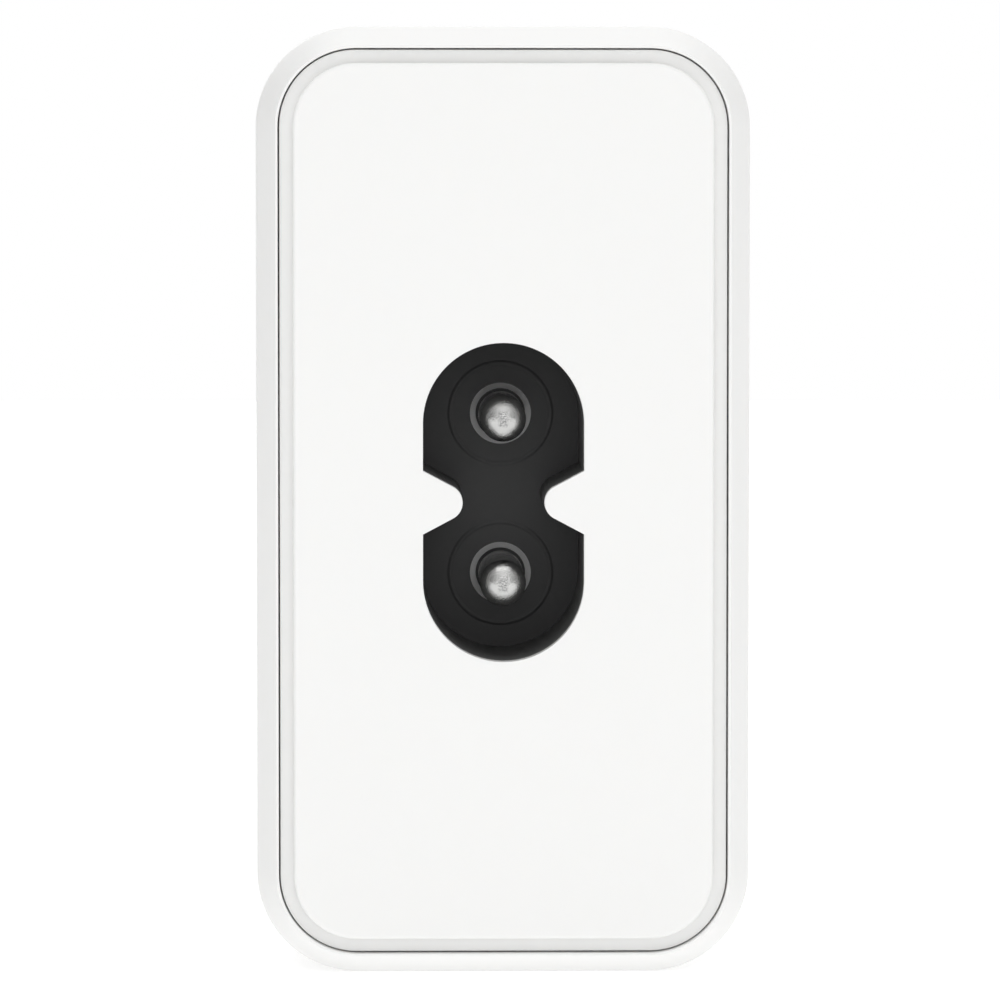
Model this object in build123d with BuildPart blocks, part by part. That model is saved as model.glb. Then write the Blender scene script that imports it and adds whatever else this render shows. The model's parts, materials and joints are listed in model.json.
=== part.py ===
from build123d import *
from math import asin, cos, degrees, radians, sin, tan
import os

# Mains power injector for a network line, built as a slim block that stands on its narrow side.
# One moulded sleeve holds a board on rails. An end plate snaps into each end of the sleeve:
# one carries the figure-eight mains inlet, the other the two network jacks and a status light.
#
# Frame: X runs across the narrow width, Y from the inlet end to the network end, Z up.
# The origin is at the middle of the underside. The board lies in a YZ plane, its parts
# standing towards +X. All sizes are in millimetres.

# ---- Housing -----------------------------------------------------------------------------
overall_length = 110.0  # between the raised faces of the two end plates
sleeve_width = 25.8
sleeve_height = 49.5
sleeve_corner = 5.25
wall = 1.9
rim_width = 1.18  # from the sleeve's side to the edge of its end opening
rim_setback = 0.25  # the sleeve's end lies this far behind the raised face
rim_bevel_run = 1.7  # the bevel round the end, along Y
rim_bevel_inset = 1.05  # the same bevel, across
rim_bevel_blend = 1.0

# ---- End plates --------------------------------------------------------------------------
plate_gap = 0.08  # between a plate's edge and the sleeve
ledge_depth = 0.7  # how far the plate's ledge lies below its raised face
ledge_width = 0.7
face_round = 0.2
flange_thickness = 1.6
lip_thickness = 1.0  # what is left of the plate in front of the inlet or a jack
seat_clearance = 0.1  # round the inlet and the jacks where they sit in a plate
skirt_depth = 4.0
skirt_wall = 1.2
skirt_clearance = 0.1
snap_height = 0.5
snap_length = 6.0
snap_run = 1.6
snap_land = 0.4  # the wedge's steep end, along Y
snap_end_gap = 0.6  # from the wedge to the skirt's end
snap_clearance = 0.12
snap_spread = 24.0  # between the two snaps on one side of a plate

# ---- Figure-eight inlet ------------------------------------------------------------------
well_width = 8.38
well_height = 16.6
neck_width = 4.26  # between the tips of the two notches
notch_mouth = 3.3
notch_angle = 56.0
well_depth = 10.7  # from the plate's raised face to the well's floor
well_wall = 1.0
well_floor = 2.0
inlet_flange_width = 13.4
inlet_flange_height = 21.8
inlet_flange_thickness = 1.2
inlet_flange_corner = 2.0
hook_wall = 1.2
hook_reach = 0.9
hook_width = 6.0
hook_slope = 1.4  # the hook's tip, along Y
hook_root = 0.4  # how far the hook's root runs into the plate
pin_pitch = 8.6
pin_diameter = 2.4
pin_tip_height = 0.84  # the domed tip
pin_setback = 1.2  # the pin's tip behind the plate's raised face
pin_recess_diameter = 3.25  # the countersink round a pin, at the well's floor
pin_recess_depth = 0.5
countersink_depth = 0.2
pin_waist_diameter = 1.9  # the insulator is moulded round this waist
pin_waist_depth = 0.15  # the waist starts this far behind the well's floor
pin_recess_floor = 2.67  # the recess below its countersink
floor_ring_diameter = 5.7  # a fine raised line round each pin
floor_ring_line = 0.25
floor_ring_height = 0.05
pin_collar_diameter = 3.6
pin_collar_thickness = 0.6
pin_tail_diameter = 1.2
pin_tail_run = 1.8  # straight back from the collar before it turns to the board

# ---- Board -------------------------------------------------------------------------------
board_thickness = 1.6
board_edge_gap = 0.3
board_end_gap = 0.3
rail_height = 1.3
rail_thickness = 1.0
rail_clearance = 0.1
lead_tail = 1.3  # what a lead stands proud of the board's back
hole_clearance = 0.15
row_gap = 1.2  # free space between one row of parts and the next
part_gap = 0.5  # free space between neighbours in a row
light_gap = 0.02  # between a metal pin and the moulding that it is pressed into

# ---- Network jacks and light -------------------------------------------------------------
jack_width = 15.9
jack_height = 13.4
jack_depth = 18.0
jack_spacing = 0.8
shield_sheet = 0.25
window_corner = 0.5
window_overlap = 0.6  # how far the plate's lip covers each edge of a jack
port_width = 11.9
port_low = 4.6
port_high = 11.5
port_depth = 13.0
latch_width = 6.2
latch_low = 3.0
latch_depth = 10.0
key_width = 3.3
key_low = 1.5
contact_count = 8
contact_pitch = 1.02
contact_wire = 0.4
contact_slot = 0.6
light_spacing = 0.95  # between the light's holder and the jack below it
light_hole = 2.2
light_flange = 3.4
led_diameter = 3.0
led_length = 4.6
led_holder_wall = 1.0

# ---- Values worked out from those above --------------------------------------------------
mid_z = sleeve_height / 2
half_length = overall_length / 2
cavity_width = sleeve_width - 2 * wall
cavity_height = sleeve_height - 2 * wall
cavity_corner = sleeve_corner - wall
opening_width = sleeve_width - 2 * rim_width
opening_height = sleeve_height - 2 * rim_width
opening_corner = sleeve_corner - rim_width
rebate_depth = ledge_depth + flange_thickness
skirt_end = rebate_depth + skirt_depth
board_face_x = -jack_height / 2
board_back_x = board_face_x - board_thickness
board_width = cavity_height - 2 * board_edge_gap
board_length = overall_length - 2 * (skirt_end + board_end_gap)
room_above_board = cavity_width / 2 - board_face_x
lead_reach = -(board_thickness + lead_tail)
well_back = well_depth + well_floor
across_limit = cavity_height / 2 - rail_height - part_gap  # nearest that a part comes to a rail
light_across = across_limit - led_diameter / 2 - led_holder_wall

board_holes = []  # (along, across, radius) of each hole that a lead needs in the board
made = {}  # every finished piece by its node name
leads_of = {"mains_side_leads": [], "output_side_leads": [], "transformer_pins": []}


def inlet_plane(depth):
    """Plane across the block, depth behind the inlet face, its normal pointing out of that end."""
    return Plane(origin=(0, depth - half_length, mid_z), x_dir=(1, 0, 0), z_dir=(0, -1, 0))


def output_plane(depth):
    """Plane across the block, depth behind the network face, its normal pointing out of that end."""
    return Plane(origin=(0, half_length - depth, mid_z), x_dir=(-1, 0, 0), z_dir=(0, 1, 0))


def on_board(along, across, lift=0.0):
    """Plane on the board's front: local x runs along Y, local y up along Z, local z away from it."""
    origin = (board_face_x + lift, along, mid_z + across)
    return Plane(origin=origin, x_dir=(0, 1, 0), z_dir=(1, 0, 0))


def under_board(along, across, lift=0.0):
    """Plane on the board's back: local x runs along Y, local z away from the board."""
    origin = (board_back_x - lift, along, mid_z + across)
    return Plane(origin=origin, x_dir=(0, 1, 0), z_dir=(-1, 0, 0))


def side_profile(plane):
    """Plane through a part's own axis: local x as in the part's plane, local y along its axis."""
    return Plane(origin=plane.origin, x_dir=plane.x_dir, z_dir=-plane.y_dir)


def keep(name, part):
    """Labels a finished piece and keeps it for the export."""
    part.label = name
    made[name] = part
    return part


# ---- Sleeve ------------------------------------------------------------------------------
def snap_profile(side, proud, slack=0.0):
    """Outline in plan of a snap wedge on the side wall at side (+1 or -1), at the inlet end."""
    root = side * (cavity_width / 2 - skirt_clearance - snap_height / 2)
    tip = side * (cavity_width / 2 - skirt_clearance + proud)
    start = skirt_end - snap_run - snap_end_gap - slack - half_length
    end = skirt_end - snap_end_gap + slack - half_length
    Polyline((root, start), (tip, start), (tip, start + snap_land + 2 * slack), (root, end), close=True)


def snap_heights():
    """Heights at which the snaps of one plate sit."""
    return [mid_z - snap_spread / 2, mid_z + snap_spread / 2]


with BuildPart() as sleeve:
    with BuildSketch(inlet_plane(rim_setback)):
        RectangleRounded(sleeve_width, sleeve_height, sleeve_corner)
    extrude(amount=-(overall_length - 2 * rim_setback))
    for end_face in sleeve.faces().filter_by(Axis.Y):
        chamfer(end_face.edges(), rim_bevel_inset, rim_bevel_run, reference=end_face)
    for end in (-1, 1):
        shoulder = end * (half_length - rim_setback - rim_bevel_run)
        ring = sleeve.edges().filter_by_position(Axis.Y, shoulder - 0.01, shoulder + 0.01)
        fillet(ring, rim_bevel_blend)
    with BuildSketch(inlet_plane(0)):
        RectangleRounded(cavity_width, cavity_height, cavity_corner)
    extrude(amount=-overall_length, mode=Mode.SUBTRACT)
    for end_plane in (inlet_plane, output_plane):
        with BuildSketch(end_plane(0)):
            RectangleRounded(opening_width, opening_height, opening_corner)
        extrude(amount=-rebate_depth, mode=Mode.SUBTRACT)
    for edge in (-1, 1):
        rail_z = mid_z + edge * (cavity_height - rail_height) / 2
        for face_x, out in ((board_face_x, 1), (board_back_x, -1)):
            rail_x = face_x + out * (rail_clearance + rail_thickness / 2)
            with Locations((rail_x, 0, rail_z)):
                Box(rail_thickness, board_length, rail_height)
    for side in (-1, 1):
        for height in snap_heights():
            with BuildSketch(Plane.XY.offset(height)) as pocket:
                with BuildLine():
                    snap_profile(side, snap_height + snap_clearance, snap_clearance)
                make_face()
                mirror(about=Plane.XZ)
            extrude(amount=snap_length / 2 + snap_clearance, both=True, mode=Mode.SUBTRACT)
keep("housing_sleeve", sleeve.part)


# ---- End plates --------------------------------------------------------------------------
def plate_blank(end_plane, end):
    """A plain end plate; end is -1 at the inlet and +1 at the jacks."""
    plate_width = opening_width - 2 * plate_gap
    plate_height = opening_height - 2 * plate_gap
    plate_corner = opening_corner - plate_gap
    skirt_width = cavity_width - 2 * skirt_clearance
    skirt_height = cavity_height - 2 * skirt_clearance
    skirt_corner = cavity_corner - skirt_clearance
    with BuildPart() as blank:
        with BuildSketch(end_plane(0)):
            RectangleRounded(
                plate_width - 2 * ledge_width, plate_height - 2 * ledge_width, plate_corner - ledge_width
            )
        extrude(amount=-(ledge_depth + flange_thickness / 2))
        raised = blank.faces().filter_by(Axis.Y).sort_by(Axis.Y)[0 if end < 0 else -1]
        fillet(raised.edges(), face_round)
        with BuildSketch(end_plane(ledge_depth)):
            RectangleRounded(plate_width, plate_height, plate_corner)
        extrude(amount=-flange_thickness)
        with BuildSketch(end_plane(rebate_depth)):
            RectangleRounded(skirt_width, skirt_height, skirt_corner)
            RectangleRounded(
                skirt_width - 2 * skirt_wall,
                skirt_height - 2 * skirt_wall,
                skirt_corner - skirt_wall,
                mode=Mode.SUBTRACT,
            )
        extrude(amount=-skirt_depth)
        for side in (-1, 1):
            for height in snap_heights():
                with BuildSketch(Plane.XY.offset(height)):
                    with BuildLine():
                        snap_profile(side, snap_height)
                    make_face()
                    if end > 0:
                        mirror(about=Plane.XZ, mode=Mode.REPLACE)
                extrude(amount=snap_length / 2, both=True)
    return blank.part


def figure_eight():
    """Outline of the inlet's well: a slot with a round-tipped notch in each long side."""
    slope = radians(notch_angle / 2)
    apex = well_width / 2 - notch_mouth / 2 / tan(slope)
    tip_radius = (neck_width / 2 - apex) / (1 / sin(slope) - 1)
    outside = well_width / 2 + 1
    spread = (outside - apex) * tan(slope)
    with BuildSketch() as outline:
        SlotOverall(well_height, well_width, rotation=90)
        for side in (-1, 1):
            with BuildLine():
                points = [(side * outside, spread), (side * apex, 0), (side * outside, -spread)]
                FilletPolyline(*points, radius=tip_radius)
                Line(points[2], points[0])
            make_face(mode=Mode.SUBTRACT)
    return outline.sketch


with BuildPart() as inlet_end_plate:
    add(plate_blank(inlet_plane, -1))
    extrude(inlet_plane(0) * figure_eight(), amount=-rebate_depth, mode=Mode.SUBTRACT)
    with BuildSketch(inlet_plane(lip_thickness)):
        seat = 2 * (well_wall + seat_clearance)
        SlotOverall(well_height + seat, well_width + seat, rotation=90)
    extrude(amount=-(rebate_depth - lip_thickness), mode=Mode.SUBTRACT)
    # two hooks reach over the ends of the inlet's flange and hold it against the plate
    hook_depth = inlet_flange_thickness + seat_clearance
    for end in (-1, 1):
        hook_across = end * (inlet_flange_height / 2 + seat_clearance)
        with BuildSketch(Plane.YZ):
            with BuildLine():
                back = rebate_depth - half_length
                inner = mid_z + hook_across
                outer = mid_z + hook_across + end * hook_wall
                lip = mid_z + hook_across - end * hook_reach
                Polyline(
                    (back - hook_root, inner),
                    (back + hook_depth, inner),
                    (back + hook_depth, lip),
                    (back + hook_depth + hook_slope, outer),
                    (back - hook_root, outer),
                    close=True,
                )
            make_face()
        extrude(amount=hook_width / 2, both=True)
keep("inlet_end_plate", inlet_end_plate.part)

jack_pitch = jack_width + jack_spacing
jack_limit = light_across - led_diameter / 2 - led_holder_wall - light_spacing
lan_across = jack_limit - jack_width / 2
jack_centres = {"poe_jack": lan_across - jack_pitch, "lan_jack": lan_across}
with BuildPart() as output_end_plate:
    add(plate_blank(output_plane, 1))
    for jack_across in jack_centres.values():
        with BuildSketch(output_plane(0)):
            with Locations((0, jack_across)):
                RectangleRounded(
                    jack_height - 2 * window_overlap, jack_width - 2 * window_overlap, window_corner
                )
        extrude(amount=-rebate_depth, mode=Mode.SUBTRACT)
        with BuildSketch(output_plane(lip_thickness)):
            with Locations((0, jack_across)):
                Rectangle(jack_height + 2 * seat_clearance, jack_width + 2 * seat_clearance)
        extrude(amount=-(rebate_depth - lip_thickness), mode=Mode.SUBTRACT)
    with BuildSketch(output_plane(0)):
        with Locations((0, light_across)):
            Circle(light_hole / 2 + light_gap)
    extrude(amount=-rebate_depth, mode=Mode.SUBTRACT)
keep("output_end_plate", output_end_plate.part)

# ---- Inlet -------------------------------------------------------------------------------
insulator_front = lip_thickness + seat_clearance / 2
with BuildPart() as inlet_insulator:
    with BuildSketch(inlet_plane(insulator_front)):
        SlotOverall(well_height + 2 * well_wall, well_width + 2 * well_wall, rotation=90)
    extrude(amount=-(well_back - insulator_front))
    with BuildSketch(inlet_plane(rebate_depth)):
        RectangleRounded(inlet_flange_width, inlet_flange_height, inlet_flange_corner)
    extrude(amount=-inlet_flange_thickness)
    extrude(inlet_plane(0) * figure_eight(), amount=-well_depth, mode=Mode.SUBTRACT)
    for pin_across in (-pin_pitch / 2, pin_pitch / 2):
        with BuildSketch(inlet_plane(well_depth)):
            with Locations((0, pin_across)):
                Circle(floor_ring_diameter / 2)
                Circle(floor_ring_diameter / 2 - floor_ring_line, mode=Mode.SUBTRACT)
        extrude(amount=floor_ring_height)
        with BuildSketch(inlet_plane(well_depth)):
            with Locations((0, pin_across)):
                Circle(pin_recess_diameter / 2)
        with BuildSketch(inlet_plane(well_depth + countersink_depth)):
            with Locations((0, pin_across)):
                Circle(pin_recess_floor / 2)
        loft(mode=Mode.SUBTRACT)
        with BuildSketch(inlet_plane(well_depth)):
            with Locations((0, pin_across)):
                Circle(pin_recess_floor / 2)
        extrude(amount=-pin_recess_depth, mode=Mode.SUBTRACT)
        with BuildSketch(inlet_plane(well_depth)):
            with Locations((0, pin_across)):
                Circle(pin_waist_diameter / 2 + light_gap)
        extrude(amount=-well_floor, mode=Mode.SUBTRACT)
keep("inlet_insulator", inlet_insulator.part)


def inlet_pin(name, across):
    """Round contact pin: domed tip, waist in the well's floor, collar and a tail bent to the board."""
    tip = Plane(origin=(0, pin_setback - half_length, mid_z + across), x_dir=(0, 1, 0), z_dir=(1, 0, 0))
    radius = pin_diameter / 2
    shaft = well_back - pin_setback
    collar_end = shaft + pin_collar_thickness
    shoulder = well_depth + pin_waist_depth - pin_setback
    dome_radius = (pin_tip_height**2 + radius**2) / (2 * pin_tip_height)
    dome_angle = degrees(asin(radius / dome_radius))
    with BuildPart() as pin:
        with BuildSketch(tip):
            with BuildLine():
                CenterArc((dome_radius, 0), dome_radius, 180 - dome_angle, dome_angle)
                Polyline(
                    (0, 0),
                    (collar_end, 0),
                    (collar_end, pin_collar_diameter / 2),
                    (shaft, pin_collar_diameter / 2),
                    (shaft, pin_waist_diameter / 2),
                    (shoulder, pin_waist_diameter / 2),
                    (shoulder, radius),
                    (pin_tip_height, radius),
                )
            make_face()
        revolve(axis=Axis(tip.origin, tip.x_dir))
        tail_start = pin_setback + collar_end - half_length
        tail_along = tail_start + pin_tail_run
        with BuildLine() as tail_path:
            FilletPolyline(
                (0, tail_start, mid_z + across),
                (0, tail_along, mid_z + across),
                (board_face_x + lead_reach, tail_along, mid_z + across),
                radius=pin_tail_diameter * 0.9,
            )
        with BuildSketch(Plane(origin=(0, tail_start, mid_z + across), z_dir=(0, 1, 0))):
            Circle(pin_tail_diameter / 2)
        sweep(path=tail_path.line)
    board_holes.append((tail_along, across, pin_tail_diameter / 2))
    keep(name, pin.part)
    return tail_along


tails_along = inlet_pin("line_pin", pin_pitch / 2)
inlet_pin("neutral_pin", -pin_pitch / 2)


# ---- Helpers for the parts on the board --------------------------------------------------
def straight_leads(group, places, radius, reach, body):
    """Straight round leads from inside a body's underside, through the board, at the places."""
    with BuildPart() as leads:
        for along, across in places:
            with BuildSketch(on_board(along, across, lead_reach)):
                Circle(radius)
            extrude(amount=reach - lead_reach)
            board_holes.append((along, across, radius))
        add(body, mode=Mode.SUBTRACT)
    leads_of[group].append(leads.part)


def upright_disc(name, along, across, diameter, thickness, pitch, lead_radius=0.3):
    """Coated disc that stands on two leads set apart along Z, such as a varistor."""
    lift = 1.2
    centre = on_board(along, across, lift + diameter / 2)
    with BuildPart() as disc:
        with BuildSketch(Plane(origin=centre.origin, x_dir=(1, 0, 0), z_dir=(0, 1, 0))):
            Circle(diameter / 2)
        extrude(amount=thickness / 2, both=True)
        fillet(disc.edges(), thickness * 0.35)
    keep(name, disc.part)
    places = [(along, across - pitch / 2), (along, across + pitch / 2)]
    straight_leads("mains_side_leads", places, lead_radius, lift + diameter / 2, disc.part)


def electrolytic(plane, diameter, length):
    """Can and rubber seal of an electrolytic capacitor; the plane's normal runs from seal to top."""
    radius, groove, seal_radius, recess = diameter / 2, 0.45, diameter / 2 - 1.0, 0.9
    with BuildPart() as can:
        with BuildSketch(side_profile(plane)):
            with BuildLine():
                Polyline(
                    (0, recess + 0.8),
                    (seal_radius, recess + 0.8),
                    (seal_radius, 0),
                    (radius, 0),
                    (radius, 1.6),
                    (radius - groove, 1.6 + groove),
                    (radius, 1.6 + 2 * groove),
                    (radius, length),
                    (0, length),
                    close=True,
                )
            make_face()
        revolve(axis=Axis(plane.origin, plane.z_dir))
        top = can.faces().filter_by(GeomType.PLANE).sort_by(Axis(plane.origin, plane.z_dir))[-1]
        fillet(top.edges(), 0.7)
    with BuildPart() as seal:
        with BuildSketch(plane.offset(recess)):
            Circle(seal_radius)
        extrude(amount=0.8)
    return can.part, seal.part


def gull_wings(plane, body_width, body_height, count, pitch, standoff=0.1):
    """Both rows of flat leads of a surface-mounted chip whose rows run along the plane's x."""
    strip, foot, knee = 0.2, 0.7, 0.35
    half, mid = body_width / 2, standoff + body_height / 2
    with BuildPart() as wings:
        for side in (-1, 1):
            for n in range(count):
                offset = (n - (count - 1) / 2) * pitch
                origin = plane.from_local_coords(Vector(offset, 0, 0))
                with BuildSketch(Plane(origin=origin, x_dir=plane.y_dir, z_dir=plane.x_dir)):
                    with BuildLine():
                        Polyline(
                            (side * half, mid + strip / 2),
                            (side * (half + knee + strip), mid + strip / 2),
                            (side * (half + knee + strip), strip),
                            (side * (half + knee + foot), strip),
                            (side * (half + knee + foot), 0),
                            (side * (half + knee), 0),
                            (side * (half + knee), mid - strip / 2),
                            (side * half, mid - strip / 2),
                            close=True,
                        )
                    make_face()
                extrude(amount=0.2, both=True)
    return wings.part


def chip_body(name, plane, length, width, height, standoff=0.1):
    """A moulded chip body with bevelled top edges."""
    with BuildPart() as chip:
        with BuildSketch(plane.offset(standoff)):
            Rectangle(length, width)
        extrude(amount=height)
        top = chip.faces().sort_by(Axis(plane.origin, plane.z_dir))[-1]
        chamfer(top.edges(), 0.25)
    keep(name, chip.part)


# ---- Mains filter ------------------------------------------------------------------------
fuse_diameter, fuse_height = 8.5, 8.0
first_row = rebate_depth + skirt_depth + board_end_gap - half_length + 1.0
fuse_along = first_row + fuse_diameter / 2
fuse_across = across_limit - fuse_diameter / 2
with BuildPart() as fuse:
    with BuildSketch(on_board(fuse_along, fuse_across, 0.4)):
        Circle(fuse_diameter / 2)
    extrude(amount=fuse_height)
    fillet(fuse.edges().sort_by(Axis.X)[-1], 0.6)
keep("fuse", fuse.part)
fuse_places = [(fuse_along - 2.54, fuse_across), (fuse_along + 2.54, fuse_across)]
straight_leads("mains_side_leads", fuse_places, 0.3, 0.4, fuse.part)

varistor_diameter, varistor_thickness = 9.0, 4.2
upright_disc(
    "varistor",
    first_row + varistor_thickness / 2 + 1.5,
    -across_limit + varistor_diameter / 2,
    varistor_diameter,
    varistor_thickness,
    5.0,
)

filter_row = tails_along + pin_tail_diameter / 2 + row_gap
choke_core_outer, choke_core_inner, choke_core_width = 12.8, 6.6, 6.4
choke_wire = 0.75
choke_width = choke_core_width + 2 * choke_wire
choke_along = filter_row + choke_width / 2
choke_across = 4.5
choke_lift = 1.2 + choke_core_outer / 2 + choke_wire
choke_centre = on_board(choke_along, choke_across, choke_lift)
choke_axis = Axis(choke_centre.origin, (0, 1, 0))


choke_section = Plane(origin=choke_centre.origin, x_dir=(0, 0, 1), z_dir=(-1, 0, 0))
with BuildPart() as choke_core:
    with BuildSketch(choke_section):
        with Locations(((choke_core_inner + choke_core_outer) / 4, 0)):
            Rectangle((choke_core_outer - choke_core_inner) / 2, choke_core_width)
    revolve(axis=choke_axis)
    fillet(choke_core.edges(), 0.5)
keep("choke_core", choke_core.part)

winding_sweep = 130.0
with BuildPart() as choke_windings:
    for start in (90 - winding_sweep / 2, 270 - winding_sweep / 2):
        turned = Plane(
            origin=choke_centre.origin,
            x_dir=(sin(radians(start)), 0, cos(radians(start))),
            z_dir=(-cos(radians(start)), 0, sin(radians(start))),
        )
        with BuildSketch(turned):
            with Locations(((choke_core_inner + choke_core_outer) / 4, 0)):
                Rectangle((choke_core_outer - choke_core_inner) / 2 + 2 * choke_wire, choke_width)
        revolve(axis=choke_axis, revolution_arc=winding_sweep)
    add(choke_core.part, mode=Mode.SUBTRACT)
keep("choke_windings", choke_windings.part)

with BuildPart() as choke_base:
    with BuildSketch(on_board(choke_along, choke_across)):
        RectangleRounded(choke_width + 1.0, choke_core_outer + 2.0, 0.8)
    extrude(amount=2.6)
    with BuildSketch(Plane(origin=choke_centre.origin, x_dir=(1, 0, 0), z_dir=(0, 1, 0))):
        Circle(choke_core_outer / 2 + choke_wire + light_gap)
    extrude(amount=choke_width, both=True, mode=Mode.SUBTRACT)
keep("choke_base", choke_base.part)
choke_places = [
    (choke_along + i * choke_width / 3, choke_across + j * choke_core_outer / 2.4)
    for i in (-1, 1)
    for j in (-1, 1)
]
straight_leads("mains_side_leads", choke_places, 0.35, 2.6, choke_base.part)

x_capacitor_length, x_capacitor_thickness, x_capacitor_height = 13.0, 6.0, 12.0
x_capacitor_along = filter_row + x_capacitor_thickness / 2
x_capacitor_across = choke_across - choke_core_outer / 2 - choke_wire - row_gap - x_capacitor_length / 2
with BuildPart() as x_capacitor:
    with BuildSketch(on_board(x_capacitor_along, x_capacitor_across, 0.3)):
        Rectangle(x_capacitor_thickness, x_capacitor_length)
    extrude(amount=x_capacitor_height)
    fillet(x_capacitor.edges().filter_by(Axis.X), 0.5)
    chamfer(x_capacitor.faces().sort_by(Axis.X)[-1].edges(), 0.3)
keep("x_capacitor", x_capacitor.part)
x_places = [(x_capacitor_along, x_capacitor_across - 5.0), (x_capacitor_along, x_capacitor_across + 5.0)]
straight_leads("mains_side_leads", x_places, 0.35, 0.3, x_capacitor.part)

thermistor_diameter, thermistor_thickness = 8.0, 4.0
thermistor_across = choke_across + choke_core_outer / 2 + choke_wire + row_gap + thermistor_diameter / 2
upright_disc(
    "inrush_thermistor",
    filter_row + thermistor_thickness / 2,
    thermistor_across,
    thermistor_diameter,
    thermistor_thickness,
    5.0,
)

bridge_length, bridge_thickness, bridge_height, bridge_lift = 14.5, 3.5, 10.5, 2.0
bridge_along = filter_row + x_capacitor_thickness + row_gap + bridge_thickness / 2
bridge_across = x_capacitor_across - 0.5
with BuildPart() as bridge_rectifier:
    with BuildSketch(on_board(bridge_along, bridge_across, bridge_lift)):
        Rectangle(bridge_thickness, bridge_length)
    extrude(amount=bridge_height)
    corner = bridge_rectifier.edges().filter_by(Axis.Y).group_by(Axis.X)[-1].sort_by(Axis.Z)[-1]
    chamfer(corner, 2.0)
keep("bridge_rectifier", bridge_rectifier.part)
bridge_places = [(bridge_along, bridge_across + (n - 1.5) * 3.8) for n in range(4)]
straight_leads("mains_side_leads", bridge_places, 0.4, bridge_lift, bridge_rectifier.part)

# ---- Bulk capacitors, lying along the block ----------------------------------------------
bulk_diameter, bulk_length, bulk_lead_run = 12.5, 21.0, 1.8
bulk_row = max(filter_row + choke_width, bridge_along + bridge_thickness / 2) + row_gap
bulk_seal_along = bulk_row + bulk_lead_run + 0.4
bulk_lift = bulk_diameter / 2 + 0.3
bulk_across = [-across_limit + bulk_diameter / 2 + n * (bulk_diameter + part_gap) for n in range(2)]
seals = []
bulk_cans = []
with BuildPart() as bulk_leads:
    for across in bulk_across:
        centre = on_board(bulk_seal_along, across, bulk_lift)
        lying = Plane(origin=centre.origin, x_dir=(0, 0, 1), z_dir=(0, 1, 0))
        bulk_can, bulk_seal = electrolytic(lying, bulk_diameter, bulk_length)
        bulk_cans.append(bulk_can)
        seals.append(bulk_seal)
        for offset in (-2.5, 2.5):
            height = mid_z + across + offset
            start = bulk_seal_along + 0.9
            turn = bulk_seal_along - bulk_lead_run
            with BuildLine() as bulk_path:
                FilletPolyline(
                    (centre.origin.X, start, height),
                    (centre.origin.X, turn, height),
                    (board_face_x + lead_reach, turn, height),
                    radius=0.8,
                )
            with BuildSketch(Plane(origin=(centre.origin.X, start, height), z_dir=(0, -1, 0))):
                Circle(0.4)
            sweep(path=bulk_path.line)
            board_holes.append((turn, across + offset, 0.4))
keep("bulk_capacitor_leads", bulk_leads.part)
with BuildPart() as bulk_capacitors:
    add(bulk_cans)
keep("bulk_capacitors", bulk_capacitors.part)

# ---- Power switch, output rectifier and their heat sinks ---------------------------------
package_width, package_height, package_thickness = 10.0, 9.2, 4.4
tab_height, tab_thickness, tab_hole = 15.2, 1.3, 3.6
package_lift = 1.0
sink_thickness, sink_height, sink_lift = 2.0, 15.4, 0.6
sink_inner = board_width / 2 - rail_height - sink_thickness - 2.6
screw_diameter, head_diameter, head_height = 3.0, 5.5, 1.9
cross_length, cross_width, cross_depth = 3.4, 0.7, 1.1
nut_flats, nut_height = 5.5, 2.2
screw_lift = package_lift + tab_height - 2.8
switch_along = bulk_seal_along + bulk_length / 2 - 2.0


def power_package(name, along):
    """Moulded three-lead power package, its metal tab flat against a heat sink on the +Z side."""
    base = on_board(along, sink_inner - package_thickness / 2, package_lift)
    with BuildPart() as body:
        with BuildSketch(base):
            Rectangle(package_width, package_thickness)
        extrude(amount=package_height)
        with BuildSketch(base):
            with Locations((0, (package_thickness - tab_thickness) / 2)):
                Rectangle(package_width, tab_thickness)
        extrude(amount=package_height, mode=Mode.SUBTRACT)
        chamfer(body.faces().sort_by(Axis.Z)[0].edges(), 0.4)
    keep(name, body.part)
    with BuildPart() as frame:
        with BuildSketch(base):
            with Locations((0, (package_thickness - tab_thickness) / 2)):
                Rectangle(package_width, tab_thickness)
        extrude(amount=tab_height)
        hole = Plane(
            origin=(board_face_x + screw_lift, along, mid_z + sink_inner),
            x_dir=(0, 1, 0),
            z_dir=(0, 0, 1),
        )
        with BuildSketch(hole):
            Circle(tab_hole / 2)
        extrude(amount=-tab_thickness, mode=Mode.SUBTRACT)
        for offset in (-2.54, 0, 2.54):
            lead_across = sink_inner - package_thickness + 1.4
            with BuildSketch(on_board(along + offset, lead_across, lead_reach)):
                Rectangle(0.8, 0.6)
            extrude(amount=package_lift - lead_reach)
            board_holes.append((along + offset, lead_across, 0.5))
    keep(name + "_frame", frame.part)


def heat_sink(name, centre, length):
    """Flat aluminium plate on two feet, with one screw hole for its package."""
    with BuildPart() as sink:
        with BuildSketch(on_board(centre, sink_inner + sink_thickness / 2, sink_lift)):
            Rectangle(length, sink_thickness)
        extrude(amount=sink_height)
        for end in (-1, 1):
            foot_along = centre + end * (length / 2 - 2.0)
            with BuildSketch(on_board(foot_along, sink_inner + sink_thickness / 2, lead_reach)):
                Circle(0.7)
            extrude(amount=sink_lift - lead_reach)
            board_holes.append((foot_along, sink_inner + sink_thickness / 2, 0.7))
        hole = Plane(
            origin=(board_face_x + screw_lift, centre, mid_z + sink_inner),
            x_dir=(0, 1, 0),
            z_dir=(0, 0, 1),
        )
        with BuildSketch(hole):
            Circle(tab_hole / 2)
        extrude(amount=sink_thickness, mode=Mode.SUBTRACT)
        fillet(sink.edges().filter_by(Axis.Z).group_by(Axis.X)[-1], 1.0)
    keep(name, sink.part)


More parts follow.
